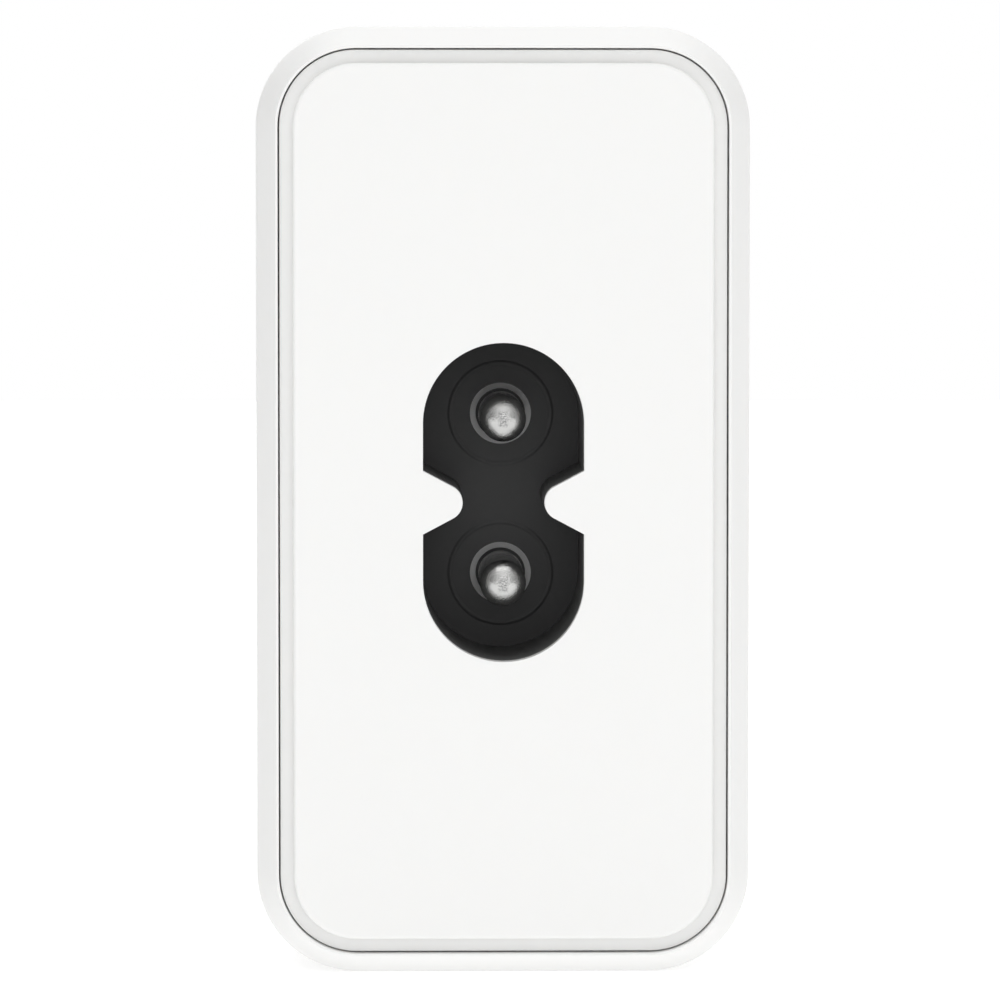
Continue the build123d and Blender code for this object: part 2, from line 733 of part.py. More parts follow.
# ---- Transformer -------------------------------------------------------------------------
core_width, core_length, core_depth = 24.0, 20.0, 7.6
core_leg, core_centre_leg, core_back = 3.5, 7.0, 3.5
transformer_height = 16.0
former_wall, former_gap, flange_sheet = 0.8, 0.15, 1.0
winding_build, tape_sheet = 2.6, 0.3
transformer_along = bulk_seal_along + bulk_length + row_gap + core_length / 2 + 1.8
transformer_across = -3.0
core_window = (core_width - 2 * core_leg - core_centre_leg) / 2
transformer_mid = transformer_height / 2
transformer_centre = on_board(transformer_along, transformer_across, transformer_mid)
winding_length = core_length - 2 * core_back - 2 * flange_sheet - 2 * former_gap

with BuildPart() as core_halves:
    with BuildSketch(on_board(transformer_along, transformer_across, transformer_mid - core_depth / 2)):
        Rectangle(core_length, core_width)
        window_across = (core_centre_leg + core_window) / 2
        with Locations((0, window_across), (0, -window_across)):
            Rectangle(core_length - 2 * core_back, core_window, mode=Mode.SUBTRACT)
    extrude(amount=core_depth)
    with BuildSketch(on_board(transformer_along, transformer_across, 0)):
        Rectangle(0.04, core_width + 1)
    extrude(amount=transformer_height, mode=Mode.SUBTRACT)
keep("transformer_core_halves", core_halves.part)


def tube_round_leg(inner, outer, length):
    """Tube round the centre leg; inner and outer are its clearances from the winding former's bore."""
    with BuildPart() as tube:
        with BuildSketch(Plane(origin=transformer_centre.origin, x_dir=(1, 0, 0), z_dir=(0, 1, 0))):
            for growth, mode in ((outer, Mode.ADD), (inner, Mode.SUBTRACT)):
                size = 2 * (former_gap + growth)
                RectangleRounded(core_depth + size, core_centre_leg + size, 0.3 + growth, mode=mode)
        extrude(amount=length / 2, both=True)
    return tube.part


pin_bar_length, pin_bar_height, pin_bar_width = 4.6, 2.0, 20.0
former_pins = []
with BuildPart() as bobbin:
    add(tube_round_leg(0, former_wall, winding_length + 2 * flange_sheet))
    flange_across = core_centre_leg + 2 * core_window - 2 * former_gap
    for end in (-1, 1):
        flange_along = transformer_along + end * (winding_length + flange_sheet) / 2
        with BuildSketch(on_board(flange_along, transformer_across, 0.2)):
            Rectangle(flange_sheet, flange_across)
        extrude(amount=transformer_height - 0.4)
        bar_along = transformer_along + end * (winding_length / 2 + flange_sheet + pin_bar_length / 2)
        with BuildSketch(on_board(bar_along, transformer_across, 0.2)):
            Rectangle(pin_bar_length, flange_across)
        extrude(amount=pin_bar_height)
        for n in range(5):
            former_pins.append((bar_along + end * 1.2, transformer_across + (n - 2) * 3.5))
    bore = Plane(origin=transformer_centre.origin, x_dir=(1, 0, 0), z_dir=(0, 1, 0))
    with BuildSketch(bore):
        RectangleRounded(core_depth + 2 * former_gap, core_centre_leg + 2 * former_gap, 0.3)
    extrude(amount=core_length, both=True, mode=Mode.SUBTRACT)
keep("transformer_bobbin", bobbin.part)
straight_leads("transformer_pins", former_pins, 0.35, 0.2, bobbin.part)

winding_outer = former_wall + winding_build
keep("transformer_winding", tube_round_leg(former_wall, winding_outer, winding_length))
keep("transformer_tape", tube_round_leg(winding_outer, winding_outer + tape_sheet, winding_length))

# the switch stands beside the bulk capacitors, the rectifier beside the transformer
sink_places = {
    "power_switch": (switch_along, 24.0),
    "output_rectifier": (transformer_along + 2.5, 14.0),
}
for package_name, (package_along, sink_length) in sink_places.items():
    power_package(package_name, package_along)
    heat_sink(package_name + "_heat_sink", package_along, sink_length)

grip = tab_thickness + sink_thickness
with BuildPart() as screws:
    for package_along, sink_length in sink_places.values():
        head = Plane(
            origin=(
                board_face_x + screw_lift,
                package_along,
                mid_z + sink_inner - tab_thickness,
            ),
            x_dir=(0, 1, 0),
            z_dir=(0, 0, 1),
        )
        with BuildSketch(head):
            Circle(head_diameter / 2)
        extrude(amount=-head_height)
        with BuildSketch(head):
            Circle(screw_diameter / 2)
        extrude(amount=grip + nut_height + 0.2)
        with BuildSketch(head.offset(-head_height)):
            Rectangle(cross_length, cross_width)
            Rectangle(cross_width, cross_length)
        extrude(amount=cross_depth, mode=Mode.SUBTRACT)
    rims = screws.edges().filter_by(GeomType.CIRCLE).group_by(Axis.Z)[0]
    fillet(rims.filter_by(lambda rim: rim.radius > head_diameter / 2 - 0.01), 0.5)
keep("heat_sink_screws", screws.part)

with BuildPart() as nuts:
    for package_along, sink_length in sink_places.values():
        seat = Plane(
            origin=(
                board_face_x + screw_lift,
                package_along,
                mid_z + sink_inner + sink_thickness,
            ),
            x_dir=(0, 1, 0),
            z_dir=(0, 0, 1),
        )
        with BuildSketch(seat):
            RegularPolygon(nut_flats / 2, 6, major_radius=False)
            Circle(screw_diameter / 2 + light_gap, mode=Mode.SUBTRACT)
        extrude(amount=nut_height)
keep("heat_sink_nuts", nuts.part)

# ---- Isolation barrier: safety capacitor and optocoupler ---------------------------------
barrier_across = transformer_across - core_width / 2 - row_gap - 2.6
y_capacitor_diameter, y_capacitor_thickness = 6.0, 3.4
with BuildPart() as y_capacitor:
    y_along = transformer_along + 5.0
    y_centre = on_board(y_along, barrier_across, 1.2 + y_capacitor_diameter / 2)
    with BuildSketch(Plane(origin=y_centre.origin, x_dir=(1, 0, 0), z_dir=(0, 0, 1))):
        Circle(y_capacitor_diameter / 2)
    extrude(amount=y_capacitor_thickness / 2, both=True)
    fillet(y_capacitor.edges(), y_capacitor_thickness * 0.35)
keep("y_capacitor", y_capacitor.part)
y_places = [(y_along - 2.2, barrier_across), (y_along + 2.2, barrier_across)]
straight_leads("output_side_leads", y_places, 0.3, 1.2 + y_capacitor_diameter / 2, y_capacitor.part)

opto_along = transformer_along - 5.0
with BuildPart() as optocoupler:
    with BuildSketch(on_board(opto_along, barrier_across, 0.4)):
        Rectangle(6.4, 4.4)
    extrude(amount=3.4)
    chamfer(optocoupler.faces().sort_by(Axis.X)[-1].edges(), 0.3)
keep("optocoupler", optocoupler.part)
opto_places = [(opto_along + i * 2.6, barrier_across + j * 1.27) for i in (-1, 1) for j in (-1, 1)]
straight_leads("output_side_leads", opto_places, 0.25, 0.4, optocoupler.part)

# ---- Output side -------------------------------------------------------------------------
jack_front = half_length - lip_thickness - seat_clearance / 2
jack_back = jack_front - jack_depth
output_diameter, output_length = 8.0, 14.0
output_row = jack_back - row_gap - output_diameter / 2
output_places = []
output_cans = []
for n in range(2):
    output_across = -across_limit + output_diameter / 2 + n * (output_diameter + part_gap)
    output_can, output_seal = electrolytic(
        on_board(output_row, output_across, 0.3), output_diameter, output_length
    )
    output_cans.append(output_can)
    seals.append(output_seal)
    output_places += [(output_row, output_across - 1.75), (output_row, output_across + 1.75)]
with BuildPart() as output_capacitors:
    add(output_cans)
keep("output_capacitors", output_capacitors.part)
with BuildPart() as capacitor_seals:
    for seal in seals:
        add(seal)
keep("capacitor_seals", capacitor_seals.part)
straight_leads("output_side_leads", output_places, 0.3, 1.2, capacitor_seals.part)

magnetics_length, magnetics_width, magnetics_height = 14.6, 6.6, 5.6
magnetics_across = output_across + (output_diameter + magnetics_length) / 2 + part_gap
magnetics_plane = Plane(
    origin=(board_face_x, output_row, mid_z + magnetics_across), x_dir=(0, 0, 1), z_dir=(1, 0, 0)
)
chip_body(
    "line_transformer_module", magnetics_plane, magnetics_length, magnetics_width, magnetics_height
)
keep("line_transformer_leads", gull_wings(magnetics_plane, magnetics_width, magnetics_height, 12, 1.2))

drum_diameter, drum_height = 7.8, 9.0
drum_across = across_limit - drum_diameter / 2
with BuildPart() as drum:
    with BuildSketch(side_profile(on_board(output_row, drum_across, 0.3))):
        with BuildLine():
            Polyline(
                (0, 0),
                (drum_diameter / 2, 0),
                (drum_diameter / 2, 1.4),
                (drum_diameter / 4, 1.4),
                (drum_diameter / 4, drum_height - 1.4),
                (drum_diameter / 2, drum_height - 1.4),
                (drum_diameter / 2, drum_height),
                (0, drum_height),
                close=True,
            )
        make_face()
    revolve(axis=Axis(on_board(output_row, drum_across).origin, (1, 0, 0)))
keep("output_choke_core", drum.part)
with BuildPart() as drum_winding:
    with BuildSketch(on_board(output_row, drum_across, 1.7 + light_gap)):
        Circle(drum_diameter / 2 - 0.4)
        Circle(drum_diameter / 4 + light_gap, mode=Mode.SUBTRACT)
    extrude(amount=drum_height - 2.8 - 2 * light_gap)
keep("output_choke_winding", drum_winding.part)
drum_places = [(output_row, drum_across - 2.5), (output_row, drum_across + 2.5)]
straight_leads("output_side_leads", drum_places, 0.35, 0.3, drum.part)

# ---- Chips on the board's back -----------------------------------------------------------
switch_chip = under_board(switch_along, 0)
supply_chip = under_board(output_row - 2.0, magnetics_across)
chip_width, chip_height, chip_pitch = 3.9, 1.2, 1.27
chip_body("mains_controller_chip", switch_chip, 4 * chip_pitch, chip_width, chip_height)
chip_body("line_power_controller_chip", supply_chip, 8 * chip_pitch, chip_width, chip_height)
with BuildPart() as chip_leads:
    add(gull_wings(switch_chip, chip_width, chip_height, 4, chip_pitch))
    add(gull_wings(supply_chip, chip_width, chip_height, 8, chip_pitch))
keep("controller_chip_leads", chip_leads.part)


# ---- Network jacks -----------------------------------------------------------------------
def network_jack(name, across):
    """Shielded eight-contact jack, its latch towards the board: housing, contact wires, shield."""
    middle = mid_z + across
    front = Plane(origin=(board_face_x, jack_front, middle), x_dir=(0, 0, 1), z_dir=(0, 1, 0))
    top = jack_height - shield_sheet
    rear = jack_depth - shield_sheet
    drops = (rear - 0.75, rear - 3.25)  # the two rows in which the wires go down to the board
    ceiling = top - 0.45
    # wires rest against the plug's side of the ceiling slots, then slope down into the port
    with BuildPart() as housing:
        with BuildSketch(front.offset(-shield_sheet)):
            with Locations((0, top / 2)):
                Rectangle(jack_width - 2 * shield_sheet, top)
        extrude(amount=-(rear - shield_sheet))
        with BuildSketch(front):
            with Locations((0, (port_low + port_high) / 2)):
                Rectangle(port_width, port_high - port_low)
        extrude(amount=-port_depth, mode=Mode.SUBTRACT)
        with BuildSketch(front):
            with Locations((0, (latch_low + port_low) / 2)):
                Rectangle(latch_width, port_low - latch_low)
            with Locations((0, (key_low + port_low) / 2)):
                Rectangle(key_width, port_low - key_low)
        extrude(amount=-latch_depth, mode=Mode.SUBTRACT)
        for n in range(contact_count):
            offset = (n - (contact_count - 1) / 2) * contact_pitch
            drop = drops[n % 2]
            slot_plane = Plane(
                origin=(board_face_x, jack_front, middle + offset), x_dir=(0, -1, 0), z_dir=(0, 0, 1)
            )
            with BuildSketch(slot_plane):
                with BuildLine():
                    Polyline(
                        (1.2, port_high - 0.1),
                        (1.2, top),
                        (drop + 0.6, top),
                        (drop + 0.6, 0),
                        (drop - 0.6, 0),
                        (drop - 0.6, top - 0.95),
                        (port_depth - 0.2, top - 0.95),
                        (port_depth - 0.2, port_high - 0.1),
                        close=True,
                    )
                make_face()
            extrude(amount=contact_slot / 2, both=True, mode=Mode.SUBTRACT)
    keep(name + "_housing", housing.part)
    with BuildPart() as contacts:
        for n in range(contact_count):
            offset = (n - (contact_count - 1) / 2) * contact_pitch
            drop = drops[n % 2]
            start = (board_face_x + lead_reach, jack_front - drop, middle + offset)
            with BuildLine() as wire:
                FilletPolyline(
                    start,
                    (board_face_x + ceiling, jack_front - drop, middle + offset),
                    (board_face_x + ceiling, jack_front - 2.0, middle + offset),
                    (board_face_x + 7.4, jack_front - 11.4, middle + offset),
                    radius=contact_wire * 0.9,
                )
            with BuildSketch(Plane(origin=start, z_dir=(1, 0, 0))):
                Circle(contact_wire / 2)
            sweep(path=wire.line)
            board_holes.append((jack_front - drop, across + offset, contact_wire / 2))
    keep(name + "_contacts", contacts.part)
    with BuildPart() as shield:
        with BuildSketch(front):
            with Locations((0, jack_height / 2)):
                Rectangle(jack_width, jack_height)
        extrude(amount=-jack_depth)
        with BuildSketch(front.offset(-shield_sheet)):
            with Locations((0, top / 2)):
                Rectangle(jack_width - 2 * shield_sheet, top)
        extrude(amount=-(rear - shield_sheet), mode=Mode.SUBTRACT)
        with BuildSketch(front):
            with Locations((0, (key_low + port_high) / 2)):
                RectangleRounded(port_width + 0.6, port_high - key_low + 0.6, 0.4)
        extrude(amount=-shield_sheet, mode=Mode.SUBTRACT)
        for side in (-1, 1):
            tab_across = across + side * (jack_width - shield_sheet) / 2
            tab_along = jack_front - jack_depth * 0.55
            with BuildSketch(on_board(tab_along, tab_across, lead_reach)):
                Rectangle(1.6, shield_sheet)
            extrude(amount=-lead_reach)
            board_holes.append((tab_along, tab_across, 0.9))
    keep(name + "_shield", shield.part)


for jack_name, jack_across in jack_centres.items():
    network_jack(jack_name, jack_across)

# ---- Status light ------------------------------------------------------------------------
led_front = skirt_end + board_end_gap - 0.2
with BuildPart() as light_pipe:
    with BuildSketch(output_plane(0)):
        with Locations((0, light_across)):
            Circle(light_hole / 2)
    extrude(amount=-rebate_depth)
    fillet(light_pipe.faces().sort_by(Axis.Y)[-1].edges(), 0.25)
    with BuildSketch(output_plane(rebate_depth)):
        with Locations((0, light_across)):
            Circle(light_flange / 2)
    extrude(amount=-1.0)
    with BuildSketch(output_plane(rebate_depth + 1.0)):
        with Locations((0, light_across)):
            Circle(light_hole / 2)
    extrude(amount=-(led_front - rebate_depth - 1.0 - 0.2))
keep("light_pipe", light_pipe.part)

led_plane = output_plane(led_front)
led_back = led_front + led_length
with BuildPart() as status_led:
    with BuildSketch(led_plane):
        with Locations((0, light_across)):
            Circle(led_diameter / 2)
    extrude(amount=-led_length)
    fillet(status_led.faces().sort_by(Axis.Y)[-1].edges(), led_diameter * 0.42)
keep("status_led", status_led.part)
with BuildPart() as led_leads:
    for offset in (-1.27, 1.27):
        led_height = mid_z + light_across + offset
        lead_start = half_length - led_back
        with BuildLine() as led_path:
            FilletPolyline(
                (0, lead_start, led_height),
                (0, lead_start - 1.6, led_height),
                (board_face_x + lead_reach, lead_start - 1.6, led_height),
                radius=0.6,
            )
        with BuildSketch(Plane(origin=(0, lead_start, led_height), z_dir=(0, -1, 0))):
            Circle(0.25)
        sweep(path=led_path.line)
        board_holes.append((lead_start - 1.6, light_across + offset, 0.25))
keep("status_led_leads", led_leads.part)
holder_depth = led_length - 1.4
with BuildPart() as led_holder:
    holder_along = half_length - led_back + holder_depth / 2
    with BuildSketch(on_board(holder_along, light_across)):
        Rectangle(holder_depth, led_diameter + 2 * led_holder_wall)
    extrude(amount=led_diameter / 2 + led_holder_wall - board_face_x)
    with BuildSketch(output_plane(0)):
        with Locations((0, light_across)):
            Circle(led_diameter / 2 + light_gap)
    extrude(amount=-led_back - 1, mode=Mode.SUBTRACT)
    fillet(led_holder.edges().filter_by(Axis.Y).group_by(Axis.X)[-1], 0.5)
keep("led_holder", led_holder.part)

for group, parts in leads_of.items():
    with BuildPart() as gathered:
        add(parts)
    keep(group, gathered.part)

# ---- Board, drilled for every lead -------------------------------------------------------
with BuildPart() as board:
    with BuildSketch(on_board(0, 0)):
        Rectangle(board_length, board_width)
        with Locations((transformer_along, barrier_across)):
            SlotOverall(5.0, 1.2, rotation=90, mode=Mode.SUBTRACT)
        for hole_along, hole_across, hole_radius in board_holes:
            with Locations((hole_along, hole_across)):
                Circle(hole_radius + hole_clearance, mode=Mode.SUBTRACT)
    extrude(amount=-board_thickness)
keep("main_board", board.part)

insulation_sheet = 0.3
with BuildPart() as insulation:
    sheet_x = -cavity_width / 2 + 0.1
    sheet_across = board_width - 2 * cavity_corner
    with Locations((sheet_x + insulation_sheet / 2, 0, mid_z)):
        Box(insulation_sheet, board_length - 1.0, sheet_across)
keep("insulation_sheet", insulation.part)

# ---- Export ------------------------------------------------------------------------------
os.makedirs("parts", exist_ok=True)
for name, part in made.items():
    export_step(part, f"parts/{name}.step")
print(len(made), "nodes")
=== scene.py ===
import json
from math import asin, cos, pi, radians, sin, tan

import bmesh
import bpy
from mathutils import Matrix, Vector


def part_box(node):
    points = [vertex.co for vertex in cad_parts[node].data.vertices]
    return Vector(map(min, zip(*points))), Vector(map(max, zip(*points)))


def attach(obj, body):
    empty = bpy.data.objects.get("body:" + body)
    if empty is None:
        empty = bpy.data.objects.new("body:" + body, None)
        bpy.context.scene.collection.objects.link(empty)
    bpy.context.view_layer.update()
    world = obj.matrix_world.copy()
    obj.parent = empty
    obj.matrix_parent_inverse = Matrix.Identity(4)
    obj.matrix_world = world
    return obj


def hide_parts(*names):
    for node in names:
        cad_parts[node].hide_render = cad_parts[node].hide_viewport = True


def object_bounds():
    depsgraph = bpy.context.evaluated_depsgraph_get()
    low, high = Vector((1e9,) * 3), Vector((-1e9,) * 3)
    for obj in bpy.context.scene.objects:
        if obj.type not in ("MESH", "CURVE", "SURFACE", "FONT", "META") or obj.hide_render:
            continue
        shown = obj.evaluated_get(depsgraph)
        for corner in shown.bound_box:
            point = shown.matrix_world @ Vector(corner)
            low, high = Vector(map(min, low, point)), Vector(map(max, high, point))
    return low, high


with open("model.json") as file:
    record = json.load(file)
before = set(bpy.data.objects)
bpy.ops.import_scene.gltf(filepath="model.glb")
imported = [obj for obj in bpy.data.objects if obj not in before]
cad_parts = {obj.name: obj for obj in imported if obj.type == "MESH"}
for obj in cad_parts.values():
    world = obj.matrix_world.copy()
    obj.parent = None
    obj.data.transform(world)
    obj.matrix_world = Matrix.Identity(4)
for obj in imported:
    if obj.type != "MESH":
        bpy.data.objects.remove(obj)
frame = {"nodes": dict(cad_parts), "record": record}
cad_low, cad_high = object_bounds()
nodes = frame["nodes"]
mm = 0.001

# ---- Camera, light and floor ------------------------------------------------------------
# A long lens close to level, a little above and to the left of the inlet's middle. One large
# soft light stands behind the camera, one hangs overhead, and white card closes the back.
scene = bpy.context.scene
plate_low, plate_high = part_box("inlet_end_plate")
block_middle = (cad_low + cad_high) / 2
mid_z = block_middle.z

lens_length = 191.3
camera_distance = 276.0 * mm
looking = Vector((0.016, 1.0, -0.050)).normalized()
aim = Vector((-0.19 * mm, plate_low.y, mid_z + 0.145 * mm))
camera_data = bpy.data.cameras.new("camera")
camera_data.lens = lens_length
camera_data.sensor_width = 36.0
camera_data.clip_start = 0.01
camera = bpy.data.objects.new("camera", camera_data)
scene.collection.objects.link(camera)
camera.location = aim - looking * camera_distance
camera.rotation_euler = looking.to_track_quat("-Z", "Y").to_euler()
scene.camera = camera
scene.view_settings.view_transform = "Standard"
scene.view_settings.look = "None"


def soft_light(name, place, size, power, target=block_middle):
    """A large soft lamp panel that points at the block and isn't seen itself."""
    data = bpy.data.lights.new(name, "AREA")
    data.shape = "RECTANGLE"
    data.size, data.size_y = size
    data.energy = power
    lamp = bpy.data.objects.new(name, data)
    scene.collection.objects.link(lamp)
    lamp.location = place
    lamp.rotation_euler = (target - Vector(place)).to_track_quat("-Z", "Y").to_euler()
    lamp.visible_camera = False
    return lamp


soft_light("front panel", (0.15, -1.3, 0.45), (0.9, 0.7), 0.85)
soft_light("top panel", (0.0, 0.0, 1.3), (1.2, 1.2), 4.6)
soft_light("back panel", (-0.3, 1.4, 0.6), (0.9, 0.7), 1.2)

# the room is a white tent whose left and right walls are a little darker than the rest
world = bpy.data.worlds.new("white tent")
scene.world = world
world.use_nodes = True
tent = world.node_tree
tent.nodes.clear()
tent_light = 1.03
left_shade = 0.98
right_shade = 0.78
tent_out = tent.nodes.new("ShaderNodeOutputWorld")
direction = tent.nodes.new("ShaderNodeTexCoord")
split = tent.nodes.new("ShaderNodeSeparateXYZ")
walls = tent.nodes.new("ShaderNodeValToRGB")
walls.color_ramp.elements[0].position = 0.0
walls.color_ramp.elements[0].color = (*[tent_light - left_shade] * 3, 1.0)
walls.color_ramp.elements[1].position = 1.0
walls.color_ramp.elements[1].color = (*[tent_light - right_shade] * 3, 1.0)
for place in (0.35, 0.65):
    walls.color_ramp.elements.new(place).color = (*[tent_light] * 3, 1.0)
shift = tent.nodes.new("ShaderNodeMapRange")
shift.inputs["From Min"].default_value = -1.0
room = tent.nodes.new("ShaderNodeBackground")
backdrop = tent.nodes.new("ShaderNodeBackground")
backdrop.inputs["Color"].default_value = (1.0, 1.0, 1.0, 1.0)
path = tent.nodes.new("ShaderNodeLightPath")
choose = tent.nodes.new("ShaderNodeMixShader")
tent.links.new(direction.outputs["Generated"], split.inputs["Vector"])
tent.links.new(split.outputs["X"], shift.inputs["Value"])
tent.links.new(shift.outputs["Result"], walls.inputs["Fac"])
tent.links.new(walls.outputs["Color"], room.inputs["Color"])
tent.links.new(path.outputs["Is Camera Ray"], choose.inputs["Fac"])
tent.links.new(room.outputs["Background"], choose.inputs[1])
tent.links.new(backdrop.outputs["Background"], choose.inputs[2])
tent.links.new(choose.outputs["Shader"], tent_out.inputs["Surface"])

floor_reach = 0.9
floor_mesh = bpy.data.meshes.new("floor")
floor_bm = bmesh.new()
bmesh.ops.create_grid(floor_bm, x_segments=1, y_segments=1, size=floor_reach)
floor_bm.to_mesh(floor_mesh)
floor_bm.free()
floor = bpy.data.objects.new("floor", floor_mesh)
scene.collection.objects.link(floor)
floor_finish = bpy.data.materials.new("pale floor")
floor_finish.use_nodes = True
floor_shader = floor_finish.node_tree.nodes["Principled BSDF"]
floor_shader.inputs["Base Color"].default_value = (0.8, 0.8, 0.8, 1.0)
floor_shader.inputs["Roughness"].default_value = 0.9
floor_shader.inputs["Specular IOR Level"].default_value = 0.1
floor_shader.inputs["Emission Color"].default_value = (1.0, 1.0, 1.0, 1.0)
floor_shader.inputs["Emission Strength"].default_value = 0.42
floor_mesh.materials.append(floor_finish)

# ---- Housing sleeve ---------------------------------------------------------------------
# One white ABS tube with rounded corners, moulded in one shot and spark-eroded to a fine
# satin. Its ends are bevelled down to a thin edge, and each end is rebated for its plate.
sleeve_low, sleeve_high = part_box("housing_sleeve")
sleeve_size = sleeve_high - sleeve_low
sleeve_corner = 5.25 * mm
sleeve_wall = 1.9 * mm
bevel_inset = 1.05 * mm
bevel_run = 1.7 * mm
bevel_blend = 0.29 * mm
rim_width = 1.18 * mm
rebate_depth = 2.3 * mm
edge_round = 0.03 * mm
corner_steps = 28


def rounded_face(bm, width, height, corner, y):
    """One flat face across the block at y, with rounded corners, looking along -Y."""
    square = bmesh.ops.create_grid(bm, x_segments=1, y_segments=1, size=0.5)["verts"]
    bmesh.ops.scale(bm, vec=(width, height, 1.0), verts=square)
    bmesh.ops.rotate(bm, cent=(0, 0, 0), matrix=Matrix.Rotation(pi / 2, 3, "X"), verts=square)
    bmesh.ops.translate(bm, vec=(0, y, mid_z), verts=square)
    bmesh.ops.bevel(
        bm, geom=square, offset=corner, offset_type="OFFSET", affect="VERTICES",
        segments=corner_steps, profile=0.5, material=-1,
    )
    return max(bm.faces, key=lambda face: -face.calc_center_median().y if face.is_valid else 0)


def push(bm, face, distance):
    """Extrudes a face across the block along -Y by that distance, or back along +Y if it is negative."""
    made = bmesh.ops.extrude_face_region(bm, geom=[face])["geom"]
    bmesh.ops.delete(bm, geom=[face], context="FACES_ONLY")
    top = [part for part in made if isinstance(part, bmesh.types.BMFace)][0]
    bmesh.ops.translate(bm, vec=(0, -distance, 0), verts=top.verts)
    return top


def step_in(bm, face, inset, rise=0.0):
    """Insets a face all round and moves the new inner face along -Y."""
    bmesh.ops.inset_region(bm, faces=[face], thickness=inset, use_even_offset=True, use_boundary=True)
    bmesh.ops.translate(bm, vec=(0, -rise, 0), verts=face.verts)
    return face


def creases(bm, y, low=10.0):
    """The edges at y whose two faces meet at an angle."""
    return [
        edge for edge in bm.edges
        if all(abs(vert.co.y - y) < 0.002 * mm for vert in edge.verts)
        and len(edge.link_faces) == 2
        and edge.calc_face_angle() > radians(low)
    ]


def round_edges(bm, edges, radius, steps=3):
    """Rounds edges over."""
    bmesh.ops.bevel(
        bm, geom=edges, offset=radius, offset_type="OFFSET", affect="EDGES", segments=steps,
        profile=0.5, clamp_overlap=True, material=-1,
    )


def finish_piece(bm, name, stands_for=(), finish=None, crease=50.0):
    """Turns a bmesh into a finished piece that rides on the root and stands for its CAD nodes."""
    mesh = bpy.data.meshes.new(name)
    for face in bm.faces:
        face.smooth = True
    for edge in bm.edges:
        edge.smooth = len(edge.link_faces) != 2 or edge.calc_face_angle() < radians(crease)
    bm.to_mesh(mesh)
    bm.free()
    piece = bpy.data.objects.new(name, mesh)
    scene.collection.objects.link(piece)
    if finish is not None:
        mesh.materials.append(finish)
    weights = piece.modifiers.new("flat faces stay flat", "WEIGHTED_NORMAL")
    weights.keep_sharp = True
    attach(piece, "root")
    if stands_for:
        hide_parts(*stands_for)
    return piece


def group_socket(group, name, kind, direction, value=None):
    """Adds one named socket to a node group."""
    socket = group.interface.new_socket(name, in_out=direction, socket_type=kind)
    if value is not None:
        socket.default_value = value
    return socket


grain = bpy.data.node_groups.new("moulded grain", "ShaderNodeTree")
group_socket(grain, "Grain scale", "NodeSocketFloat", "INPUT", 9000.0)
group_socket(grain, "Drift scale", "NodeSocketFloat", "INPUT", 60.0)
group_socket(grain, "Height", "NodeSocketFloat", "OUTPUT")
group_socket(grain, "Drift", "NodeSocketFloat", "OUTPUT")
grain_in = grain.nodes.new("NodeGroupInput")
grain_out = grain.nodes.new("NodeGroupOutput")
grain_place = grain.nodes.new("ShaderNodeTexCoord")
grain_fine = grain.nodes.new("ShaderNodeTexNoise")
grain_fine.inputs["Detail"].default_value = 3.0
grain_fine.inputs["Roughness"].default_value = 0.6
grain_slow = grain.nodes.new("ShaderNodeTexNoise")
grain_slow.inputs["Detail"].default_value = 2.0
grain.links.new(grain_place.outputs["Object"], grain_fine.inputs["Vector"])
grain.links.new(grain_place.outputs["Object"], grain_slow.inputs["Vector"])
grain.links.new(grain_in.outputs["Grain scale"], grain_fine.inputs["Scale"])
grain.links.new(grain_in.outputs["Drift scale"], grain_slow.inputs["Scale"])
grain.links.new(grain_fine.outputs["Fac"], grain_out.inputs["Height"])
grain.links.new(grain_slow.outputs["Fac"], grain_out.inputs["Drift"])


def moulded_plastic(
    name, colour, roughness, shade=0.97, grain_scale=9000.0, grain_depth=0.004, drift_scale=60.0,
    roughness_spread=0.06, specular=0.5, subsurface=0.0,
):
    """Moulded plastic: its colour drifts a little, and fine grain sits in its gloss and its surface."""
    finish = bpy.data.materials.new(name)
    finish.use_nodes = True
    tree = finish.node_tree
    shader = tree.nodes["Principled BSDF"]
    shader.inputs["Specular IOR Level"].default_value = specular
    if subsurface:
        shader.inputs["Subsurface Weight"].default_value = subsurface
        shader.inputs["Subsurface Radius"].default_value = (1.0, 0.9, 0.8)
        shader.inputs["Subsurface Scale"].default_value = 0.8 * mm
    texture = tree.nodes.new("ShaderNodeGroup")
    texture.node_tree = grain
    texture.inputs["Grain scale"].default_value = grain_scale
    texture.inputs["Drift scale"].default_value = drift_scale
    tint = tree.nodes.new("ShaderNodeMix")
    tint.data_type = "RGBA"
    tint.inputs["A"].default_value = (*[channel * shade for channel in colour], 1.0)
    tint.inputs["B"].default_value = (*colour, 1.0)
    tree.links.new(texture.outputs["Drift"], tint.inputs["Factor"])
    tree.links.new(tint.outputs["Result"], shader.inputs["Base Color"])
    gloss = tree.nodes.new("ShaderNodeMapRange")
    gloss.inputs["To Min"].default_value = roughness - roughness_spread
    gloss.inputs["To Max"].default_value = roughness + roughness_spread
    tree.links.new(texture.outputs["Height"], gloss.inputs["Value"])
    tree.links.new(gloss.outputs["Result"], shader.inputs["Roughness"])
    relief = tree.nodes.new("ShaderNodeBump")
    relief.inputs["Strength"].default_value = 0.5
    relief.inputs["Distance"].default_value = grain_depth * mm
    tree.links.new(texture.outputs["Height"], relief.inputs["Height"])
    tree.links.new(relief.outputs["Normal"], shader.inputs["Normal"])
    return finish


white_plastic = moulded_plastic("white_moulding", (0.87, 0.87, 0.86), 0.42, shade=0.985, subsurface=0.08)

